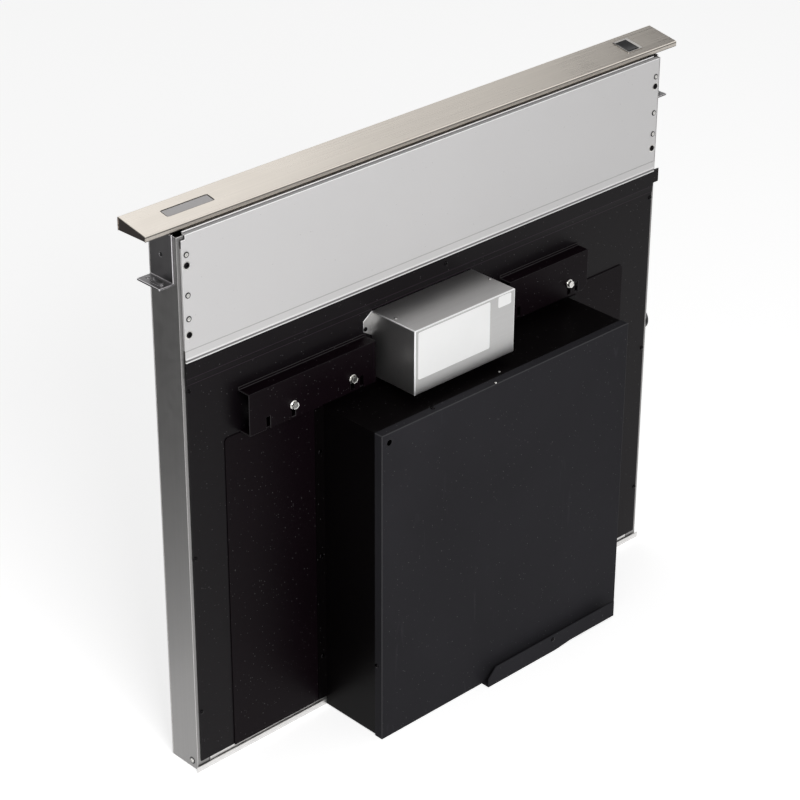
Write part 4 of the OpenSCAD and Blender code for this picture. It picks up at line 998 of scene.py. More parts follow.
def islands(node: str) -> list[tuple[Vector, Vector]]:
    """Finds the boxes of a construction piece's separate solids.

    Args:
        node: Name of the construction piece.

    Returns:
        The lowest and highest corner of each solid.
    """
    shape = bmesh.new()
    shape.from_mesh(bpy.data.objects[node].data)
    bmesh.ops.remove_doubles(shape, verts=shape.verts, dist=WELD)
    left = set(shape.verts)
    boxes = []
    while left:
        group, waiting = set(), [left.pop()]
        while waiting:
            vertex = waiting.pop()
            group.add(vertex)
            near = {e.other_vert(vertex) for e in vertex.link_edges} & left
            left -= near
            waiting.extend(near)
        boxes.append((Vector([min(v.co[i] for v in group) for i in range(3)]),
                      Vector([max(v.co[i] for v in group) for i in range(3)])))
    shape.free()
    return sorted(boxes, key=lambda box: tuple(round(c, 6) for c in box[0]))


# Geometry Nodes


class Tree:
    """A Geometry Nodes tree with named inputs, which is run once on a piece."""

    def __init__(self, name: str) -> None:
        """Starts a tree that takes and gives geometry.

        Args:
            name: Name of the tree.
        """
        self.group = bpy.data.node_groups.new(name, "GeometryNodeTree")
        for way in ("INPUT", "OUTPUT"):
            self.group.interface.new_socket("Geometry", in_out=way,
                                            socket_type="NodeSocketGeometry")
        self.start = self.group.nodes.new("NodeGroupInput")
        self.end = self.group.nodes.new("NodeGroupOutput")

    def given(self, name: str, kind: str) -> Socket:
        """Adds a named input of a kind such as Float, and gives its socket in the tree."""
        self.group.interface.new_socket(name, in_out="INPUT", socket_type=f"NodeSocket{kind}")
        return self.start.outputs[name]

    def geometry(self) -> Socket:
        """Gives the geometry that the tree starts from."""
        return self.start.outputs["Geometry"]

    def add(self, kind: str, inputs: dict[str | int, Any] | None = None,
            **settings: Any) -> bpy.types.Node:
        """Adds a node and links or sets its inputs.

        Args:
            kind: The node's type name.
            inputs: Sockets or values by the input's name or number.
            **settings: Values of the node's own properties.

        Returns:
            The new node.
        """
        made = self.group.nodes.new(kind)
        for key, value in settings.items():
            setattr(made, key, value)
        for key, value in (inputs or {}).items():
            if isinstance(value, bpy.types.NodeSocket):
                self.group.links.new(value, made.inputs[key])
            else:
                made.inputs[key].default_value = value
        return made

    def maths(self, operation: str, first: Socket | float, second: Socket | float = 0.0) -> Socket:
        """Adds one sum of two values, named such as MULTIPLY."""
        return self.add("ShaderNodeMath", {0: first, 1: second}, operation=operation).outputs[0]

    def attribute(self, name: str, kind: str) -> Socket:
        """Reads a named value of each point, of a data type such as FLOAT."""
        return self.add("GeometryNodeInputNamedAttribute", {"Name": name},
                        data_type=kind).outputs[0]

    def close(self, geometry: Socket) -> None:
        """Ends the tree: instances become real and take the given material.

        Args:
            geometry: The finished geometry.
        """
        real = self.add("GeometryNodeRealizeInstances", {0: geometry})
        dressed = self.add("GeometryNodeSetMaterial", {
            "Geometry": real.outputs[0], "Material": self.given("Finish", "Material")})
        self.group.links.new(dressed.outputs[0], self.end.inputs[0])

    def run(self, piece: bpy.types.Object, finish: bpy.types.Material, **values: Any) -> None:
        """Runs the tree on a piece and keeps the result as its plain mesh.

        Args:
            piece: The piece.
            finish: The material of what the tree makes.
            **values: Values of the tree's other inputs.
        """
        modifier = piece.modifiers.new(self.group.name, "NODES")
        modifier.node_group = self.group
        values["Finish"] = finish
        for item in self.group.interface.items_tree:
            if item.in_out == "INPUT" and item.name in values:
                modifier[item.identifier] = values[item.name]
        bake(piece)
        bpy.data.node_groups.remove(self.group)


@dataclass(frozen=True)
class Seat:
    """Where one fastener sits: its place, the way its head faces and its size."""

    place: Vector
    aim: Vector
    size: float = 1.0
    turn: float = 0.0


def scattered(name: str, part: bpy.types.Object, seats: list[Seat],
              finish: bpy.types.Material) -> bpy.types.Object:
    """Sets copies of one part on many seats with Geometry Nodes.

    Args:
        name: Name of the piece.
        part: The part, with its seat at the origin and its head along Z. It is removed.
        seats: Where the copies go.
        finish: Their material.

    Returns:
        The piece that holds all the copies.
    """
    mesh = bpy.data.meshes.new(name)
    mesh.from_pydata([seat.place for seat in seats], [], [])
    mesh.attributes.new("turn", "FLOAT_VECTOR", "POINT")
    mesh.attributes.new("size", "FLOAT", "POINT")
    for i, seat in enumerate(seats):
        facing = seat.aim.to_track_quat("Z", "Y") @ Quaternion((0, 0, 1), seat.turn)
        mesh.attributes["turn"].data[i].vector = Vector(facing.to_euler())
        mesh.attributes["size"].data[i].value = seat.size
    piece = shown(name, mesh)
    tree = Tree("fasteners_on_seats")
    shape = tree.add("GeometryNodeObjectInfo", {"Object": tree.given("Part", "Object")})
    facing = tree.add("FunctionNodeEulerToRotation", {0: tree.attribute("turn", "FLOAT_VECTOR")})
    copies = tree.add("GeometryNodeInstanceOnPoints", {
        "Points": tree.geometry(), "Instance": shape.outputs["Geometry"],
        "Rotation": facing.outputs[0], "Scale": tree.attribute("size", "FLOAT")})
    tree.close(copies.outputs[0])
    tree.run(piece, finish, Part=part)
    bpy.data.objects.remove(part)
    smooth(piece)
    return piece


# The vent


@dataclass
class Shop:
    """Dresses finished pieces and puts them on their bodies."""

    finishes: dict[Slot, bpy.types.Material]

    def deliver(self, piece: bpy.types.Object, body: Body, slot: Slot, *nodes: str,
                finish: bpy.types.Material | None = None) -> bpy.types.Object:
        """Gives a piece its material, from its own finish or else its slot, puts it on its body,
        and hides what it replaces.

        Args:
            piece: The finished piece.
            body: The body that it rides on.
            slot: Its material slot.
            *nodes: The construction pieces that it stands for.
            finish: A material of its own, in place of the slot's.

        Returns:
            The piece.
        """
        piece.data.materials.clear()
        piece.data.materials.append(finish or self.finishes[slot])
        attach(piece, body.value)
        if nodes:
            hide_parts(*nodes)
        LOG.info("%s: %d faces on %s", piece.name, len(piece.data.polygons), body.value)
        return piece

    def refine(self, node: str, body: Body, slot: Slot, fold: float = Fold.SHEET,
               finish: bpy.types.Material | None = None, **rounding: Any) -> bpy.types.Object:
        """Replaces a construction piece by a copy with rounded edges.

        Args:
            node: The construction piece.
            body: Its body.
            slot: Its material slot.
            fold: Width of the rounding along folds.
            finish: A material of its own, in place of the slot's.
            **rounding: More values for the rounding.

        Returns:
            The copy.
        """
        piece = copy_of(node, f"{node}_formed")
        round_edges(piece, fold, **rounding)
        return self.deliver(piece, body, slot, node, finish=finish)

    def keep(self, slot: Slot, *nodes: str) -> None:
        """Gives construction pieces that stay as they are their material.

        Args:
            slot: Their material slot.
            *nodes: Their names.
        """
        for node in nodes:
            piece = bpy.data.objects[node]
            piece.data.materials.clear()
            piece.data.materials.append(self.finishes[slot])
            LOG.info("%s: kept from the frame", node)


@dataclass
class TopCap:
    """The sloping stainless cap, its end pieces and its badge plate."""

    shop: Shop
    sheet: float = 0.9 * MM
    fall: float = 7.8 * MM
    front_lip: float = 6 * MM
    bend: float = 1.1 * MM
    edge: float = 0.4 * MM
    end_fold: float = 0.6 * MM
    cut_reach: float = 3 * MM
    # Painted highlight on the top's front bend, and painted shade lines lower on the front lip.
    lip_lines: tuple[LightLine, ...] = (LightLine(-0.15 * MM, 1.45, 0.5 * MM),
                                     LightLine(-1.4 * MM, 0.3, 1.2 * MM),
                                     LightLine(-5.6 * MM, 0.25, 0.9 * MM))
    badge_length: float = 59 * MM
    badge_width: float = 12 * MM
    badge_corner: float = 0.8 * MM
    badge_inset: float = 70 * MM
    badge_shift: float = 1 * MM
    badge_sink: float = 0.4 * MM
    badge_gap: float = 0.6 * MM
    badge_rim: float = 2 * MM
    badge_border: float = 0.7 * MM
    badge_step: float = 0.15 * MM
    badge_slope: float = 0.12 * MM
    backing: float = 0.75 * MM
    hair: float = 0.05 * MM
    switch_inset: float = 59 * MM
    switch_length: float = 21.4 * MM
    switch_width: float = 24.2 * MM
    switch_corner: float = 1 * MM
    low: Vector = field(init=False)
    high: Vector = field(init=False)

    def __post_init__(self) -> None:
        """Reads the cap's place from the frame."""
        self.low, self.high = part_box("top_cap")

    def on_slope(self, x: float) -> Matrix:
        """Gives the plane of the cap's sloping top.

        Args:
            x: Distance along the cap.

        Returns:
            A matrix whose origin is on the top's middle line.
        """
        depth = self.high.y - self.low.y
        middle = Vector((x, (self.low.y + self.high.y) / 2, self.high.z - self.fall / 2))
        return Matrix.Translation(middle) @ Matrix.Rotation(math.atan2(self.fall, depth), 4, "X")

    def badge_place(self) -> Matrix:
        """Gives the plane of the badge."""
        shift = Matrix.Translation((0, self.badge_shift, 0))
        return self.on_slope(self.low.x + self.badge_inset) @ shift

    def build(self) -> None:
        """Builds the cap, its ends and its badge."""
        self.build_cap()
        self.build_badge()
        # The cap's ends take a dark copy of the stainless: painted shade on faces that turn away
        # from the light, with strong painted edge highlights.
        brown = BrushedSteel((0.115, 0.10, 0.095), Grain.Z, 0.36, 6.0).material("cap_ends")
        for node in ("cap_end_left", "cap_end_right"):
            self.shop.refine(node, Body.RISER, Slot.DARK_STAINLESS, self.end_fold, brown,
                             rim_share=1.0)
        self.shop.keep(Slot.GALVANISED, "cap_clips")

    def build_cap(self) -> None:
        """Folds the cap's sheet and cuts the openings for the badge and the switch."""
        t = self.sheet / 2
        slope = math.atan2(self.fall, self.high.y - self.low.y)
        drop = t / math.cos(slope)
        back, front = self.high.y - t, self.low.y + t
        top_at_front = self.high.z - self.fall
        corners = [
            Vector((back, self.low.z)),
            Vector((back, self.high.z - drop - t * math.tan(slope))),
            Vector((front, top_at_front - drop + t * math.tan(slope))),
            Vector((front, top_at_front - self.front_lip)),
        ]
        outline = sheet_outline(bent_line(corners, self.bend), self.sheet)
        shape = bmesh.new()
        slab(shape, outline, self.low.x, self.high.x, SIDEWAYS)
        cap = from_bmesh("top_cap_formed", shape)
        tool = bmesh.new()
        for outline, place in (
                (rounded_rectangle(self.badge_length, self.badge_width, self.badge_corner),
                 self.badge_place()),
                (rounded_rectangle(self.switch_length, self.switch_width, self.switch_corner),
                 self.on_slope(self.high.x - self.switch_inset))):
            slab(tool, outline, -self.cut_reach, self.cut_reach, place)
        cut(cap, from_bmesh("openings", tool))
        round_edges(cap, self.edge, rim_share=1.0, segments=2)
        steel = replace(FINISHES[Slot.STAINLESS],
                        light_lines=tuple(line.above(top_at_front) for line in self.lip_lines))
        self.shop.deliver(cap, Body.RISER, Slot.STAINLESS, "top_cap",
                          finish=steel.material("cap_steel"))

    def build_badge(self) -> None:
        """Makes the bare badge plate: a face with a raised border on a flange."""
        place = self.badge_place()
        length = self.badge_length - 3 * self.badge_gap
        width = self.badge_width - 2 * self.badge_gap
        seat = -self.sheet - self.hair
        backing = bmesh.new()
        slab(backing, rounded_rectangle(self.badge_length + 2 * self.badge_rim,
                                        self.badge_width + 2 * self.badge_rim,
                                        self.switch_corner), seat - self.backing, seat, place)
        self.shop.deliver(from_bmesh("badge_backing", backing), Body.RISER, Slot.PLASTIC)
        shape = bmesh.new()
        slab(shape, rounded_rectangle(length, width, self.badge_border), seat,
             -self.badge_sink, place)
        face = max(shape.faces, key=lambda f: (place.inverted() @ f.calc_center_median()).z)
        bmesh.ops.inset_region(shape, faces=[face], thickness=self.badge_border,
                               use_even_offset=True)
        bmesh.ops.inset_region(shape, faces=[face], thickness=self.badge_slope,
                               depth=-self.badge_step, use_even_offset=True)
        badge = from_bmesh("badge_plate_formed", shape)
        round_edges(badge, self.badge_step, rim_share=0.5, sheet=self.hair, segments=2)
        steel = BrushedSteel((0.33, 0.32, 0.32), Grain.X, 0.34, 1.7)
        self.shop.deliver(badge, Body.RISER, Slot.DARK_STAINLESS, "badge_plate",
                          finish=steel.material("badge"))


@dataclass
class Switch:
    """The rocker switch in the cap's right end: frame, body and rocker."""

    shop: Shop
    cap: TopCap
    frame_length: float = 24 * MM
    frame_width: float = 25.5 * MM
    frame_rise: float = 0.8 * MM
    frame_dish: float = 0.7 * MM
    frame_corner: float = 1.4 * MM
    frame_fold: float = 0.75 * MM
    well_corner: float = 0.6 * MM
    rocker_length: float = 16.5 * MM
    rocker_width: float = 19.7 * MM
    rocker_rise: float = 0.6 * MM
    rocker_dip: float = 0.9 * MM
    rocker_fold: float = 0.35 * MM
    pivot_depth: float = 3.5 * MM
    skirt: float = 4.5 * MM
    side_gap: float = 0.3 * MM
    end_gap: float = 0.8 * MM
    body_height: float = 12 * MM
    body_setback: tuple[float, float] = (2.7 * MM, 1.4 * MM)
    body_corner: float = 1 * MM
    wall: float = 1.3 * MM
    hair: float = 0.02 * MM
    sliver: float = 0.1 * MM
    blade: tuple[float, float, float] = (6 * MM, 0.8 * MM, 6 * MM)
    blade_corner: float = 0.2 * MM
    blade_pitch: float = 6 * MM
    blade_shift: float = 0.4 * MM

    def build(self) -> None:
        """Builds the three pieces."""
        place = self.cap.on_slope(self.cap.high.x - self.cap.switch_inset)
        well = rounded_rectangle(self.rocker_length + 2 * self.side_gap,
                                 self.rocker_width + 2 * self.end_gap, self.well_corner)
        frame = ring("switch_frame", rounded_rectangle(
            self.frame_length, self.frame_width, self.frame_corner), well, (0, self.frame_rise),
            (0, self.frame_rise - self.frame_dish), place)
        round_edges(frame, self.frame_fold, rim_share=1.0, sheet=self.sliver)
        # The frame's edge factor of 0.06 paints dark shade lines round its edges.
        bright = BrushedSteel((0.52, 0.50, 0.48), Grain.Y, 0.25, 0.06).material("switch_frame")
        self.shop.deliver(frame, Body.RISER, Slot.PLASTIC, "switch_bezel", finish=bright)
        span, foot = (-self.body_height, -self.hair), -self.body_height
        body = ring("switch_body", rounded_rectangle(
            self.frame_length - self.body_setback[0], self.frame_width - self.body_setback[1],
            self.body_corner), well, span, span, place)
        with edited(body) as shape:
            slab(shape, rounded_rectangle(self.rocker_length + self.body_corner,
                                          self.rocker_width + 2 * self.body_corner,
                                          self.body_corner), foot, foot + self.wall, place)
            for i in (-1, 0, 1):
                centre = (0, i * self.blade_pitch + self.blade_shift)
                slab(shape, rounded_rectangle(self.blade[0], self.blade[1], self.blade_corner, 2,
                                              centre), foot - self.blade[2], foot, place)
        smooth(body)
        self.shop.deliver(body, Body.RISER, Slot.PLASTIC)
        self.build_rocker(place)

    def build_rocker(self, place: Matrix) -> None:
        """Makes the rocker with a shallow valley between its two ends.

        Args:
            place: The plane of the cap's top at the switch.
        """
        half, steps = self.rocker_width / 2, 12
        top = []
        for step in range(steps + 1):
            y = half * (1 - 2 * step / steps)
            top.append(Vector((y, self.rocker_rise - self.rocker_dip * (1 - (y / half) ** 2))))
        bottom = -self.pivot_depth - self.skirt
        outline = top + [Vector((-half, -self.pivot_depth)), Vector((-half / 2, bottom)),
                         Vector((half / 2, bottom)), Vector((half, -self.pivot_depth))]
        shape = bmesh.new()
        slab(shape, outline, -self.rocker_length / 2, self.rocker_length / 2, place @ SIDEWAYS)
        rocker = from_bmesh("rocker_formed", shape)
        round_edges(rocker, self.rocker_fold, sheet=self.sliver)
        self.shop.deliver(rocker, Body.ROCKER, Slot.PLASTIC, "rocker_switch",
                          finish=Moulded((0.014, 0.014, 0.015), 0.36, 0.3).material("rocker"))


@dataclass
class Filter:
    """A grease filter: a folded frame round a woven wire mesh, with a pull tab."""

    shop: Shop
    node: str
    rim: float = 11 * MM
    pitch: float = 5 * MM
    wire: float = 0.42 * MM
    wave: float = 0.5 * MM
    outer_corner: float = 2 * MM
    overlap: float = 1 * MM
    tab_width: float = 26 * MM
    tab_drop: float = 9 * MM
    tab_thickness: float = 1 * MM
    fold: float = 0.8 * MM
    widest_rim: float = 1.5 * MM
    mesh_depth: float = 3 * MM

    def build(self) -> None:
        """Builds the frame and the mesh."""
        low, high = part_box(self.node)
        self.build_frame(low, high)
        self.build_mesh(low, high)

    def build_frame(self, low: Vector, high: Vector) -> None:
        """Makes the frame with its tab.

        Args:
            low: Lowest corner of the filter.
            high: Highest corner of the filter.
        """
        size, middle = high - low, (low + high) / 2
        centre = (middle.x, middle.z)
        span = (-high.y, -low.y)
        piece = ring(f"{self.node}_frame",
                     rounded_rectangle(size.x, size.z, self.outer_corner, 4, centre),
                     rounded_rectangle(size.x - 2 * self.rim, size.z - 2 * self.rim,
                                       self.outer_corner / 2, 4, centre), span, span, STANDING)
        tab_height = self.tab_drop + self.overlap
        tab_centre = (middle.x, high.z - self.rim + self.overlap - tab_height / 2)
        with edited(piece) as shape:
            slab(shape, rounded_rectangle(self.tab_width, tab_height, self.outer_corner, 4,
                                          tab_centre),
                 -low.y - self.tab_thickness, -low.y, STANDING)
        round_edges(piece, self.fold, rim_share=0.35, sheet=self.widest_rim)
        self.shop.deliver(piece, Body.RISER, Slot.ALUMINIUM, self.node)

    def build_mesh(self, low: Vector, high: Vector) -> None:
        """Weaves the wires with Geometry Nodes.

        Args:
            low: Lowest corner of the filter.
            high: Highest corner of the filter.
        """
        piece = shown(f"{self.node}_wires", bpy.data.meshes.new(f"{self.node}_wires"))
        tree = Tree("woven_wires")
        width, height = tree.given("Width", "Float"), tree.given("Height", "Float")
        pitch, wave = tree.given("Pitch", "Float"), tree.given("Wave", "Float")
        wire, corner = tree.given("Wire radius", "Float"), tree.given("Corner", "Vector")
        section = tree.add("GeometryNodeCurvePrimitiveCircle", {"Resolution": 5, "Radius": wire})
        joined = tree.add("GeometryNodeJoinGeometry")
        for first, second, axis, sign in ((width, height, 2, 1.0), (height, width, 0, -1.0)):
            wires = self.straight_wires(tree, first, second, pitch, axis)
            bent = self.weave(tree, wires, pitch, tree.maths("MULTIPLY", wave, sign))
            tube = tree.add("GeometryNodeCurveToMesh", {
                "Curve": bent, "Profile Curve": section.outputs[0], "Fill Caps": True})
            tree.group.links.new(tube.outputs[0], joined.inputs[0])
        placed = tree.add("GeometryNodeTransform", {"Geometry": joined.outputs[0],
                                                    "Translation": corner})
        tree.close(placed.outputs[0])
        inner = self.rim - self.overlap
        tree.run(piece, self.shop.finishes[Slot.ALUMINIUM],
                 Width=high.x - low.x - 2 * inner, Height=high.z - low.z - 2 * inner,
                 Pitch=self.pitch, Wave=self.wave, Corner=Vector(
                     (low.x + inner, low.y + self.mesh_depth, low.z + inner)),
                 **{"Wire radius": self.wire})
        smooth(piece)
        self.shop.deliver(piece, Body.RISER, Slot.ALUMINIUM)

    def straight_wires(self, tree: Tree, spread: Socket, reach: Socket, pitch: Socket,
                       axis: int) -> Socket:
        """Lays straight wires side by side.

        Args:
            tree: The tree.
            spread: How far the wires spread.
            reach: Length of each wire.
            pitch: Distance between two wires.
            axis: The axis that the wires follow, 0 or 2.

        Returns:
            The wires as curves.
        """
        end = tree.add("ShaderNodeCombineXYZ", {axis: reach}).outputs[0]
        line = tree.add("GeometryNodeCurvePrimitiveLine", {"Start": (0, 0, 0), "End": end})
        points = tree.maths("CEIL", tree.maths("MULTIPLY", tree.maths("DIVIDE", reach, pitch), 4.0))
        fine = tree.add("GeometryNodeResampleCurve", {"Curve": line.outputs[0], "Count": points})
        step = tree.add("ShaderNodeCombineXYZ", {2 - axis: pitch}).outputs[0]
        count = tree.maths("ADD", tree.maths("FLOOR", tree.maths("DIVIDE", spread, pitch)), 1.0)
        row = tree.add("GeometryNodeMeshLine", {"Count": count, "Start Location": (0, 0, 0),
                                                "Offset": step})
        copies = tree.add("GeometryNodeInstanceOnPoints", {
            "Points": row.outputs[0], "Instance": fine.outputs[0]})
        return tree.add("GeometryNodeRealizeInstances", {0: copies.outputs[0]}).outputs[0]

    def weave(self, tree: Tree, wires: Socket, pitch: Socket, wave: Socket) -> Socket:
        """Bends wires over and under the ones that cross them.

        Args:
            tree: The tree.
            wires: The straight wires.
            pitch: Distance between two wires.
            wave: Height of the bends, negative for the crossing set.

        Returns:
            The bent wires.
        """
        place = tree.add("GeometryNodeInputPosition").outputs[0]
        split = tree.add("ShaderNodeSeparateXYZ", {0: place})
        turn = tree.maths("DIVIDE", math.pi, pitch)
        swings = [tree.maths("COSINE", tree.maths("MULTIPLY", split.outputs[i], turn))
                  for i in (0, 2)]
        lift = tree.maths("MULTIPLY", tree.maths("MULTIPLY", swings[0], swings[1]), wave)
        offset = tree.add("ShaderNodeCombineXYZ", {1: lift}).outputs[0]
        return tree.add("GeometryNodeSetPosition", {0: wires, "Offset": offset}).outputs[0]


@dataclass
class Riser:
    """The sliding riser: sheets, legs, filters, cross bar and glides."""

    shop: Shop

    def build(self) -> None:
        """Builds the riser."""
        for node in ("riser_front", "riser_back", "riser_side_left", "riser_side_right"):
            self.shop.refine(node, Body.RISER, Slot.STAINLESS, Fold.FINE,
                             finish=self.shop.finishes[Slot.STAINLESS])
        for node in ("grease_filter_left", "grease_filter_right"):
            Filter(self.shop, node).build()
        self.shop.refine("lift_crossbar", Body.RISER, Slot.GALVANISED, Fold.FINE)
        self.shop.keep(Slot.NYLON, "lift_nut", "glide_blocks")


@dataclass
class Fasteners:
    """Screws, bolts and eyelets of the whole unit."""

    shop: Shop
    head_height: float = 1.2 * MM
    large_head: float = 3 * MM
    back_zone: float = 6 * MM
    eyelet_shares: tuple[float, ...] = (0.152, 0.468, 0.653)
    eyelet_inset: float = 9.7 * MM
    eyelet_top: float = 2 * MM
    eyelet_radius: float = 2.2 * MM
    eyelet_rim: float = 3.1 * MM
    eyelet_height: float = 0.6 * MM
    bracket_sheet: float = 2 * MM
    bracket_hole_drop: float = 25.8 * MM
    bracket_hole_radius: float = 2.9 * MM
    hex_radius: float = 4.2 * MM
    hex_height: float = 3.2 * MM
    washer_radius: float = 4.9 * MM
    washer_height: float = 1.2 * MM
    shank_radius: float = 2.2 * MM
    chamfer: float = 0.3 * MM
    crown: tuple[float, float, float] = (0.8 * MM, 0.5 * MM, 0.35 * MM)
    bolt_pitch: float = 10 * MM
    chance: random.Random = field(default_factory=lambda: random.Random(7))
    bright: bpy.types.Material = field(init=False)

    def build(self) -> None:
        """Builds every fastener that shows."""
        self.bright = PlatedMetal((0.96, 0.95, 0.93), 0.2, 0.9, 1.0).material("bright_rims")
        coated, zinc = self.seats("panel_screws"), self.seats("case_screws")
        large = [seat for seat in coated if seat.size > self.large_head]
        small = [seat for seat in coated if seat.size <= self.large_head]
        # A lighter copy of the black screws' finish: painted sheen, so that the small screws on
        # black panels show highlights.
        sheen_screw_finish = PlatedMetal((0.09, 0.088, 0.09), 0.24).material("rubbed_screws")
        black, bare = self.shop.finishes[Slot.BLACK_SCREW], self.shop.finishes[Slot.ZINC]
        for name, seats, finish, slot, nodes in (
                ("large_screws", large, black, Slot.BLACK_SCREW, ["panel_screws"]),
                ("small_screws", small, sheen_screw_finish, Slot.BLACK_SCREW, []),
                ("case_screws_formed", zinc, bare, Slot.ZINC, ["case_screws"])):
            piece = scattered(name, self.pan_screw(), seats, finish)
            self.shop.deliver(piece, Body.CASE, slot, *nodes)
        self.build_rings(large)
        # Dark discs of painted shade under the side screws, round the rivets and in the brackets'
        # holes.
        shadows = [Seat(s.place, s.aim, s.size * 1.6) for s in zinc if abs(s.aim.x) > 0.5]
        self.build_shade_discs(self.build_eyelets() + shadows + self.bracket_holes())
        self.build_bolts()

    def seats(self, node: str) -> list[Seat]:
        """Finds where a construction piece's screws sit and the way they face.

        Args:
            node: The construction piece.

        Returns:
            A seat for each screw.
        """
        low_all, high_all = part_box("back_panel")
        found = []
        for low, high in islands(node):
            size, middle = high - low, (low + high) / 2
            axis = max(range(3), key=lambda i: abs(size[i] - (sum(size) - size[i]) / 2))
            radius = (sum(size) - size[axis]) / 4
            outwards = -1.0 if axis == 1 and middle.y < high_all.y - self.back_zone else 1.0
            if axis == 0:
                outwards = math.copysign(1.0, middle.x - (low_all.x + high_all.x) / 2)
            aim = Vector((0, 0, 0))
            aim[axis] = outwards
            place = middle.copy()
            face = high[axis] if outwards > 0 else low[axis]
            place[axis] = face - outwards * min(self.head_height, size[axis])
            found.append(Seat(place, aim, radius, self.chance.uniform(0, math.pi)))
        return found

    def pan_screw(self) -> bpy.types.Object:
        """Makes a pan head of radius 1 with a cross recess."""
        profile = [(0.0, -0.5), (0.55, -0.5), (0.55, 0.0), (0.98, 0.0), (1.0, 0.08), (0.95, 0.24),
                   (0.82, 0.36), (0.6, 0.43), (0.3, 0.46), (0.0, 0.465)]
        screw = turned("pan_screw", profile, 20)
        arm, half = 0.52, 0.11
        corner = [Vector((arm, -half, 0)), Vector((arm, half, 0)), Vector((half, half, 0))]
        tool = bmesh.new()
        slab(tool, [Matrix.Rotation(math.pi / 2 * i, 3, "Z") @ point
                    for i in range(4) for point in corner], 0.16, 0.6)
        cut(screw, from_bmesh("cross", tool))
        return screw

    def build_rings(self, seats: list[Seat]) -> None:
        """Makes the bright rings that show round the grey panel's black screws.

        Args:
            seats: Where those screws sit.
        """
        profile = [(0.7, 0.0), (1.38, 0.0), (1.38, 0.04), (1.28, 0.09), (0.7, 0.07), (0.7, 0.0)]
        piece = scattered("screw_washers", turned("ring", profile, 24), seats, self.bright)
        self.shop.deliver(piece, Body.CASE, Slot.ZINC)

    def bracket_holes(self) -> list[Seat]:
        """Gives a seat for a dark disc of painted shade in the round hole of each worktop bracket.
        """
        seats = []
        for name, side in (("left", -1), ("right", 1)):
            low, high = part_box(f"worktop_bracket_{name}")
            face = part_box(f"side_panel_{name}")[side > 0].x + side * 0.8 * self.bracket_sheet
            place = Vector((face, (low.y + high.y) / 2, high.z - self.bracket_hole_drop))
            seats.append(Seat(place, Vector((side, 0, 0)), self.bracket_hole_radius))
        return seats

    def build_shade_discs(self, seats: list[Seat]) -> None:
        """Makes dark discs of painted shade round rivets and screws and in small holes.

        Args:
            seats: Where they sit.
        """
        core = turned("core", [(0.0, -0.2), (1.0, -0.2), (1.0, 0.04), (0.0, 0.04)], 24)
        piece = scattered("hole_plugs", core, seats, self.shop.finishes[Slot.PLASTIC])
        self.shop.deliver(piece, Body.CASE, Slot.PLASTIC)

    def build_eyelets(self) -> list[Seat]:
        """Makes the bright rivets of the grey panel.

        Returns:
            Seats for the painted shade discs round them.
        """
        low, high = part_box("upper_front_panel")
        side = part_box("back_panel")[1].x - self.eyelet_inset
        height = high.z - self.eyelet_top - low.z
        seats = []
        for share in self.eyelet_shares:
            for x in (-side, side):
                z = low.z + height * (1 - share)
                seats.append(Seat(Vector((x, low.y, z)), Vector((0, -1, 0))))
        top, wide = self.eyelet_height, self.eyelet_radius
        profile = [(0, 0), (wide, 0), (0.9 * wide, 0.7 * top), (0.6 * wide, top), (0, top)]
        piece = scattered("panel_rivets", turned("rivet", profile, 24), seats, self.bright)
        self.shop.deliver(piece, Body.CASE, Slot.ZINC)
        return [replace(seat, size=self.eyelet_rim) for seat in seats]

    def build_bolts(self) -> None:
        """Makes the rails' hexagon bolts with washers."""
        groups: dict[int, list[tuple[Vector, Vector]]] = {}
        for low, high in islands("rail_bolts"):
            groups.setdefault(round((low.x + high.x) / 2 / self.bolt_pitch), []).append((low, high))
        seats = []
        for boxes in groups.values():
            low = Vector([min(box[0][i] for box in boxes) for i in range(3)])
            high = Vector([max(box[1][i] for box in boxes) for i in range(3)])
            face = low.y + self.hex_height + self.washer_height
            middle = (low + high) / 2
            seats.append(Seat(Vector((middle.x, face, middle.z)), Vector((0, -1, 0)),
                              turn=self.chance.uniform(0, 1)))
        reach = min(high.y for _, high in islands("rail_bolts")) - seats[0].place.y
        piece = scattered("rail_bolts_formed", self.hex_bolt(reach), seats,
                          self.shop.finishes[Slot.ZINC])
        self.shop.deliver(piece, Body.CASE, Slot.ZINC, "rail_bolts")

    def hex_bolt(self, reach: float) -> bpy.types.Object:
        """Makes a bolt with a chamfered hexagon head and a washer.

        Args:
            reach: Length of its shank behind the washer's seat.

        Returns:
            The bolt, with the washer's seat at the origin.
        """
        top = self.washer_height + self.hex_height
        washer = turned("washer", [(0, 0), (self.washer_radius, 0),
                                   (self.washer_radius, self.washer_height * 0.8),
                                   (self.washer_radius - self.chamfer, self.washer_height),
                                   (0, self.washer_height)], 32)
        shape = bmesh.new()
        shape.from_mesh(washer.data)
        bpy.data.objects.remove(washer)
        slab(shape, circle(self.hex_radius, 6), self.washer_height, top)
        crown = max(shape.faces, key=lambda f: f.calc_center_median().z)
        rim, slope, dip = self.crown
        bmesh.ops.inset_region(shape, faces=[crown], thickness=rim, depth=0.0)
        bmesh.ops.inset_region(shape, faces=[crown], thickness=slope, depth=-dip)
        slab(shape, circle(self.shank_radius, 16), -reach, self.washer_height / 6)
        bolt = from_bmesh("hex_bolt", shape)
        round_edges(bolt, self.chamfer, rim_share=1.0, segments=2)
        return bolt


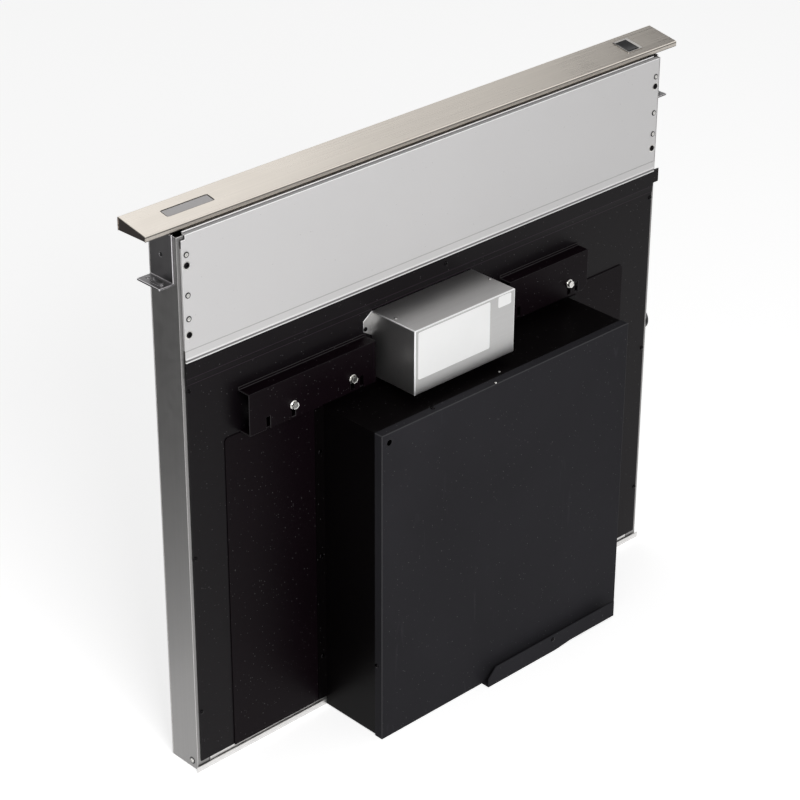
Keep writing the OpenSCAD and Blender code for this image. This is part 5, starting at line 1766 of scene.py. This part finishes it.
@dataclass
class Case:
    """The slim case: panels, pan, rails, brackets, guides and plug."""

    shop: Shop
    # Painted highlight and shade lines along the grey panel's bottom hem: shares above one are
    # highlights, below one shade.
    panel_foot_lines: tuple[LightLine, ...] = (
        LightLine(13.4 * MM, 0.68), LightLine(5.3 * MM, 1.28, 1.0 * MM),
        LightLine(2.9 * MM, 0.25, 1.9 * MM), LightLine(0.6 * MM, 1.4, 1.2 * MM))
    # Painted shade at the foot of the grey panel's top upturn and a painted highlight on its top
    # bend.
    panel_top_lines: tuple[LightLine, ...] = (
        LightLine(-2.0 * MM, 0.6, 0.3 * MM), LightLine(-1.4 * MM, 0.2, 0.9 * MM),
        LightLine(-0.4 * MM, 1.45, 1.0 * MM))
    # Painted highlights on the header's step edges, with painted shade lines beside them.
    header_lines: tuple[LightLine, ...] = (
        LightLine(0.4 * MM, 6.0), LightLine(1.4 * MM, 0.1),
        LightLine(7.4 * MM, 6.0), LightLine(6.4 * MM, 0.1))

    def build(self) -> None:
        """Builds the case."""
        sheet, coat = self.shop.finishes[Slot.GALVANISED], self.shop.finishes[Slot.BLACK_COAT]
        for node in ("side_panel_left", "side_panel_right", "back_panel"):
            self.shop.refine(node, Body.CASE, Slot.GALVANISED, Fold.SHEET, sheet)
        self.shop.refine("bottom_pan", Body.CASE, Slot.GALVANISED, Fold.PAN, GalvanisedSheet(
            (0.72, 0.71, 0.70), Grain.X, 0.38).material("pan_sheet"))
        self.build_light_lined_panels()
        self.shop.refine("lower_front_panel", Body.CASE, Slot.BLACK_COAT, Fold.PLATE, coat)
        dull = PowderCoat((0.0032, 0.0012, 0.0024), gloss=0.06, dust_share=0.13).material(
            "dull_coat")
        plate = PowderCoat((0.0036, 0.0016, 0.0028), gloss=0.06, dust_share=0.16, edge=0.004)
        self.shop.refine("blower_mount_plate", Body.CASE, Slot.BLACK_COAT, Fold.PLATE,
                         plate.material("mount_plate_coat"))
        for node in ("support_rail_left", "support_rail_right"):
            self.shop.refine(node, Body.CASE, Slot.BLACK_COAT, Fold.PLATE, dull, rim_share=0.8)
        for node in ("worktop_bracket_left", "worktop_bracket_right"):
            self.shop.refine(node, Body.CASE, Slot.DARK_STAINLESS, Fold.BRACKET, rim_share=0.8)
        self.shop.refine("side_plug", Body.CASE, Slot.PLASTIC, Fold.FINE)
        self.shop.keep(Slot.GALVANISED, "guide_rail_left", "guide_rail_right")
        self.shop.keep(Slot.FELT, "riser_seals")
        self.shop.keep(Slot.RUBBER, "rest_bumpers")

    def build_light_lined_panels(self) -> None:
        """Makes the grey panel and the header with painted lines of highlight and shade along their
        folds and steps.
        """
        low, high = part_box("upper_front_panel")
        grey = replace(FINISHES[Slot.GREY], light_lines=(
            *(line.above(low.z) for line in self.panel_foot_lines),
            *(line.above(high.z) for line in self.panel_top_lines)))
        self.shop.refine("upper_front_panel", Body.CASE, Slot.GREY, Fold.SHEET,
                         grey.material("grey_panel"), rim_share=1.0)
        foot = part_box("header_band")[0].z
        band = replace(FINISHES[Slot.BLACK_COAT],
                       light_lines=tuple(line.above(foot) for line in self.header_lines))
        self.shop.refine("header_band", Body.CASE, Slot.BLACK_COAT, Fold.SHEET,
                         band.material("header_coat"), rim_share=1.0)


@dataclass
class ControlBox:
    """The galvanised control box with its blank labels and its inner parts."""

    shop: Shop
    label_corner: float = 2.2 * MM
    rivet_radius: float = 2.1 * MM
    rivet_places: tuple[tuple[float, float, float], ...] = (
        (48.9 * MM, -4.1 * MM, 465 * MM), (-89.3 * MM, -3.2 * MM, 465 * MM))

    def build(self) -> None:
        """Builds the control box."""
        bright = GalvanisedSheet((0.58, 0.575, 0.57), Grain.X, 0.35, 260.0, 2.2, 0.012).material(
            "control_sheet")
        for node in ("control_cover", "control_base"):
            self.shop.refine(node, Body.CASE, Slot.GALVANISED, Fold.BOX, bright, rim_share=0.7)
        self.build_labels()
        self.build_rivets(bright)
        self.shop.refine("cord_bushing", Body.CASE, Slot.PLASTIC, Fold.FINE)
        self.shop.keep(Slot.BOARD, "control_board")
        self.shop.keep(Slot.ALUMINIUM, "run_capacitor")

    def build_labels(self) -> None:
        """Makes the two blank labels with round corners."""
        shape = bmesh.new()
        for low, high in islands("control_labels"):
            size, middle = high - low, (low + high) / 2
            radius = min(self.label_corner, size.z / 6)
            slab(shape, rounded_rectangle(size.x, size.z, radius, 5, (middle.x, middle.z)),
                 -high.y, -low.y, STANDING)
        labels = from_bmesh("control_labels_formed", shape)
        self.shop.deliver(labels, Body.CASE, Slot.LABEL, "control_labels")

    def build_rivets(self, finish: bpy.types.Material) -> None:
        """Makes the rivets of the cover's top.

        Args:
            finish: The cover's material.
        """
        profile = [(0.0, -0.1), (1.0, -0.1), (1.0, 0.1), (0.9, 0.3), (0.6, 0.45), (0.3, 0.5),
                   (0.0, 0.5)]
        seats = [Seat(Vector(place), Vector((0, 0, 1)), self.rivet_radius)
                 for place in self.rivet_places]
        piece = scattered("control_rivets", turned("rivet", profile, 20), seats, finish)
        self.shop.deliver(piece, Body.CASE, Slot.GALVANISED)


@dataclass
class Lift:
    """The lift drive behind the lower panel."""

    shop: Shop
    starts: int = 4
    lead: float = 12 * MM
    root: float = 4.1 * MM
    tooth: float = 0.9 * MM
    plain_foot: float = 28 * MM
    plain_head: float = 27 * MM
    journal_radius: float = 4 * MM
    overlap: float = 1 * MM

    def build(self) -> None:
        """Builds the drive."""
        self.build_screw()
        for node in ("lift_gearbox", "lift_motor"):
            self.shop.refine(node, Body.CASE, Slot.MOTOR, Fold.PAN)
        self.shop.refine("lift_motor_bracket", Body.CASE, Slot.GALVANISED, Fold.FINE)
        self.shop.keep(Slot.BRASS, "screw_bearing")
        self.shop.keep(Slot.PLASTIC, "limit_switches")

    def build_screw(self) -> None:
        """Winds the lead screw's four-start thread with Geometry Nodes."""
        low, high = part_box("lead_screw")
        middle = (low + high) / 2
        bottom, top = low.z + self.plain_foot, high.z - self.plain_head
        piece = shown("lead_screw_formed", bpy.data.meshes.new("lead_screw_formed"))
        tree = Tree("lead_screw_thread")
        turns, rise = tree.given("Turns", "Float"), tree.given("Rise", "Float")
        radius, tooth = tree.given("Root radius", "Float"), tree.given("Tooth", "Float")
        spiral = tree.add("GeometryNodeCurveSpiral", {
            "Resolution": 28, "Rotations": turns, "Start Radius": radius, "End Radius": radius,
            "Height": rise})
        profile = tree.add("GeometryNodeCurvePrimitiveCircle", {"Resolution": 6, "Radius": tooth})
        thread = tree.add("GeometryNodeCurveToMesh", {
            "Curve": spiral.outputs[0], "Profile Curve": profile.outputs[0], "Fill Caps": True})
        core = tree.add("GeometryNodeMeshCylinder", {
            "Vertices": 28, "Radius": radius, "Depth": rise})
        lifted = tree.add("GeometryNodeTransform", {
            "Geometry": core.outputs[0], "Translation": tree.add("ShaderNodeCombineXYZ", {
                2: tree.maths("DIVIDE", rise, 2.0)}).outputs[0]})
        joined = tree.add("GeometryNodeJoinGeometry")
        for start in range(self.starts):
            turned_thread = tree.add("GeometryNodeTransform", {
                "Geometry": thread.outputs[0],
                "Rotation": (0.0, 0.0, 2 * math.pi * start / self.starts)})
            tree.group.links.new(turned_thread.outputs[0], joined.inputs[0])
        tree.group.links.new(lifted.outputs[0], joined.inputs[0])
        placed = tree.add("GeometryNodeTransform", {
            "Geometry": joined.outputs[0], "Translation": tree.given("Foot", "Vector")})
        tree.close(placed.outputs[0])
        tree.run(piece, self.shop.finishes[Slot.ZINC], Turns=(top - bottom) / self.lead,
                 Rise=top - bottom, Tooth=self.tooth, Foot=Vector((middle.x, middle.y, bottom)),
                 **{"Root radius": self.root})
        self.add_journals(piece, middle, [(low.z, bottom + self.overlap),
                                          (top - self.overlap, high.z)])
        smooth(piece, 40.0)
        self.shop.deliver(piece, Body.SCREW, Slot.ZINC, "lead_screw")

    def add_journals(self, piece: bpy.types.Object, middle: Vector,
                     spans: list[tuple[float, float]]) -> None:
        """Adds the plain round ends of the screw.

        Args:
            piece: The screw.
            middle: A point on its axis.
            spans: Lower and upper height of each end.
        """
        outline = circle(self.journal_radius, 24, (middle.x, middle.y))
        with edited(piece) as shape:
            for low, high in spans:
                slab(shape, outline, low, high)


@dataclass
class Blower:
    """The black blower box with its wheel, motor, outlet plate and damper."""

    shop: Shop

    def build(self) -> None:
        """Builds the blower."""
        # Two copies of one black coat: the shell's darker copy is painted shade on its sides that
        # face away from the light; the cover's lighter copy is for its lit front.
        dark = PowderCoat((0.0015, 0.0010, 0.0012), gloss=0.06).material("blower_shell_coat")
        soft = PowderCoat((0.0235, 0.0228, 0.0262), 0.52, 0.03).material("blower_cover_coat")
        self.shop.refine("blower_shell", Body.CASE, Slot.BLACK_COAT, Fold.SHEET, dark)
        for node in ("blower_front_cover", "outlet_plate"):
            self.shop.refine(node, Body.CASE, Slot.BLACK_COAT, Fold.SHEET, soft)
        self.shop.refine("damper_frame", Body.CASE, Slot.GALVANISED, Fold.FINE)
        self.shop.refine("damper_flap", Body.DAMPER, Slot.ALUMINIUM, Fold.FLAP)
        self.shop.keep(Slot.GALVANISED, "scroll_wall", "inlet_ring", "blower_wheel")
        self.shop.keep(Slot.BLACK_COAT, "motor_mount")
        self.shop.keep(Slot.MOTOR, "blower_motor")
        self.shop.keep(Slot.ZINC, "motor_shaft", "damper_pin")


# The studio


@dataclass
class Studio:
    """Camera, floor, lamps and world."""

    lens: float = 115.41
    azimuth: float = -43.71
    elevation: float = 28.63
    roll: float = 0.23
    camera_place: tuple[float, float, float] = (-1.72694, -1.72325, 1.66501)
    floor_size: float = 12.0
    floor_drop: float = 0.2 * MM
    floor_glow: float = 0.60
    ambient: float = 0.42

    def build(self) -> None:
        """Builds the studio."""
        self.build_camera()
        self.build_floor()
        self.build_world()
        self.lamp("key_softbox", (-0.9, -1.7, 1.45), (0, 0, 0.35), 1.0, 27.0)
        self.lamp("cap_softbox", (0.85, 1.50, 2.45), (-0.2, 0.0, 0.63), 1.1, 2.3)
        self.flag("cap_flag", (2.85, 1.09, 2.00), (0.4, 0.0, 0.63), (1.1, 1.4), (0.0, 0.0))
        self.flag("side_flag", (-1.2, 1.0, 0.002), (-1.2, 1.0, 1.0), (2.4, 1.6),
                  (0.12, 0.12, 0.12, 0.12, 0.12, 0.14, 0.2, 0.5, 0.85))
        self.flag("lip_flag", (0.8, -1.12, 0.003), (0.8, -1.12, 1.0), (1.9, 0.6), (0.25, 0.25))

    def build_camera(self) -> None:
        """Makes the camera at the photograph's viewing angle."""
        a, e, r = (math.radians(v) for v in (self.azimuth, self.elevation, self.roll))
        back = Vector((math.sin(a) * math.cos(e), -math.cos(a) * math.cos(e), math.sin(e)))
        right = Vector((math.cos(a), math.sin(a), 0))
        up = back.cross(right)
        turned_right = math.cos(r) * right + math.sin(r) * up
        turned_up = -math.sin(r) * right + math.cos(r) * up
        camera = bpy.data.cameras.new("camera")
        camera.lens = self.lens
        made = bpy.data.objects.new("camera", camera)
        bpy.context.scene.collection.objects.link(made)
        rotation = Matrix((turned_right, turned_up, back)).transposed().to_4x4()
        made.matrix_world = Matrix.Translation(self.camera_place) @ rotation
        bpy.context.scene.camera = made

    def seen_or_mirrored(self, tree: bpy.types.NodeTree) -> Socket:
        """Gives 1 for rays from the camera, off gloss or through glass, and 0 for the rest.

        Args:
            tree: The node tree.

        Returns:
            The mask.
        """
        path = tree.nodes.new("ShaderNodeLightPath")
        total = path.outputs["Is Camera Ray"]
        for name in ("Is Glossy Ray", "Is Transmission Ray"):
            made = tree.nodes.new("ShaderNodeMath")
            made.operation = "MAXIMUM"
            tree.links.new(total, made.inputs[0])
            tree.links.new(path.outputs[name], made.inputs[1])
            total = made.outputs[0]
        return total

    def build_floor(self) -> None:
        """Makes the plain pale floor, which keeps the object's shadow."""
        half = self.floor_size / 2
        shape = bmesh.new()
        shape.faces.new([shape.verts.new((x, y, -self.floor_drop))
                         for x, y in ((-half, -half), (half, -half), (half, half), (-half, half))])
        floor = from_bmesh("floor", shape)
        material = bpy.data.materials.new("floor")
        material.use_nodes = True
        tree = material.node_tree
        tree.nodes.clear()
        plain = tree.nodes.new("ShaderNodeBsdfDiffuse")
        plain.inputs["Color"].default_value = (0.82, 0.82, 0.82, 1.0)
        glow = tree.nodes.new("ShaderNodeEmission")
        strength = tree.nodes.new("ShaderNodeMath")
        strength.operation = "MULTIPLY"
        strength.inputs[1].default_value = self.floor_glow
        tree.links.new(self.seen_or_mirrored(tree), strength.inputs[0])
        tree.links.new(strength.outputs[0], glow.inputs["Strength"])
        both = tree.nodes.new("ShaderNodeAddShader")
        output = tree.nodes.new("ShaderNodeOutputMaterial")
        tree.links.new(plain.outputs[0], both.inputs[0])
        tree.links.new(glow.outputs[0], both.inputs[1])
        tree.links.new(both.outputs[0], output.inputs[0])
        floor.data.materials.append(material)

    def build_world(self) -> None:
        """Makes the soft surrounding light behind a white background."""
        world = bpy.data.worlds.new("studio")
        world.use_nodes = True
        tree = world.node_tree
        tree.nodes.clear()
        background = tree.nodes.new("ShaderNodeBackground")
        output = tree.nodes.new("ShaderNodeOutputWorld")
        strength = tree.nodes.new("ShaderNodeMapRange")
        strength.inputs["To Min"].default_value = self.ambient
        strength.inputs["To Max"].default_value = 1.0
        tree.links.new(self.seen_or_mirrored(tree), strength.inputs["Value"])
        tree.links.new(strength.outputs[0], background.inputs["Strength"])
        tree.links.new(background.outputs[0], output.inputs[0])
        bpy.context.scene.world = world

    def aimed(self, place: tuple[float, float, float], target: tuple[float, float, float],
              front: str) -> Matrix:
        """Gives the place of a thing whose front axis points at a target."""
        facing = (Vector(target) - Vector(place)).to_track_quat(front, "Y")
        return Matrix.Translation(place) @ facing.to_matrix().to_4x4()

    def lamp(self, name: str, place: tuple[float, float, float],
             target: tuple[float, float, float], size: float, power: float) -> None:
        """Hangs a square softbox.

        Args:
            name: Name of the lamp.
            place: Where it hangs.
            target: The point that it faces.
            size: Its width.
            power: Its power in watts.
        """
        light = bpy.data.lights.new(name, "AREA")
        light.size = size
        light.energy = power
        made = bpy.data.objects.new(name, light)
        bpy.context.scene.collection.objects.link(made)
        made.matrix_world = self.aimed(place, target, "-Z")

    def flag(self, name: str, place: tuple[float, float, float],
             target: tuple[float, float, float], size: tuple[float, float],
             tones: tuple[float, ...]) -> None:
        """Sets up a dark board that only gloss mirrors.

        Args:
            name: Name of the board.
            place: Its centre.
            target: The point that it faces.
            size: Its width and height.
            tones: Its brightness at even steps from its far edge to its near one.
        """
        matrix = self.aimed(place, target, "Z")
        steps = len(tones) - 1
        rows = [[Vector((x * size[0] / 2, (i / steps - 0.5) * size[1], 0)) for x in (-1, 1)]
                for i in range(steps + 1)]
        mesh = bpy.data.meshes.new(name)
        mesh.from_pydata([matrix @ point for row in rows for point in row], [],
                         [(i, i + 1, i + 3, i + 2) for i in range(0, 2 * steps, 2)])
        board = shown(name, mesh)
        tone = mesh.attributes.new("tone", "FLOAT", "POINT")
        tone.data.foreach_set("value", [value for value in tones for _ in range(2)])
        material = bpy.data.materials.new(name)
        material.use_nodes = True
        tree = material.node_tree
        tree.nodes.clear()
        glow = tree.nodes.new("ShaderNodeEmission")
        fade = tree.nodes.new("ShaderNodeAttribute")
        fade.attribute_name = "tone"
        tree.links.new(fade.outputs["Fac"], glow.inputs["Strength"])
        output = tree.nodes.new("ShaderNodeOutputMaterial")
        tree.links.new(glow.outputs[0], output.inputs[0])
        board.data.materials.append(material)
        board.visible_camera = False
        board.visible_diffuse = False
        board.visible_shadow = False


def main() -> None:
    """Builds the studio and every sub-assembly in order."""
    logging.basicConfig(level=logging.INFO, format="%(message)s")
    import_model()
    bpy.context.scene.view_settings.view_transform = "Standard"
    Studio().build()
    shop = Shop({slot: finish.material(slot.value) for slot, finish in FINISHES.items()})
    cap = TopCap(shop)
    for assembly in (cap, Switch(shop, cap), Riser(shop), Case(shop), ControlBox(shop),
                     Lift(shop), Blower(shop), Fasteners(shop)):
        LOG.info("%s", type(assembly).__name__)
        assembly.build()


if __name__ == "__main__":
    main()
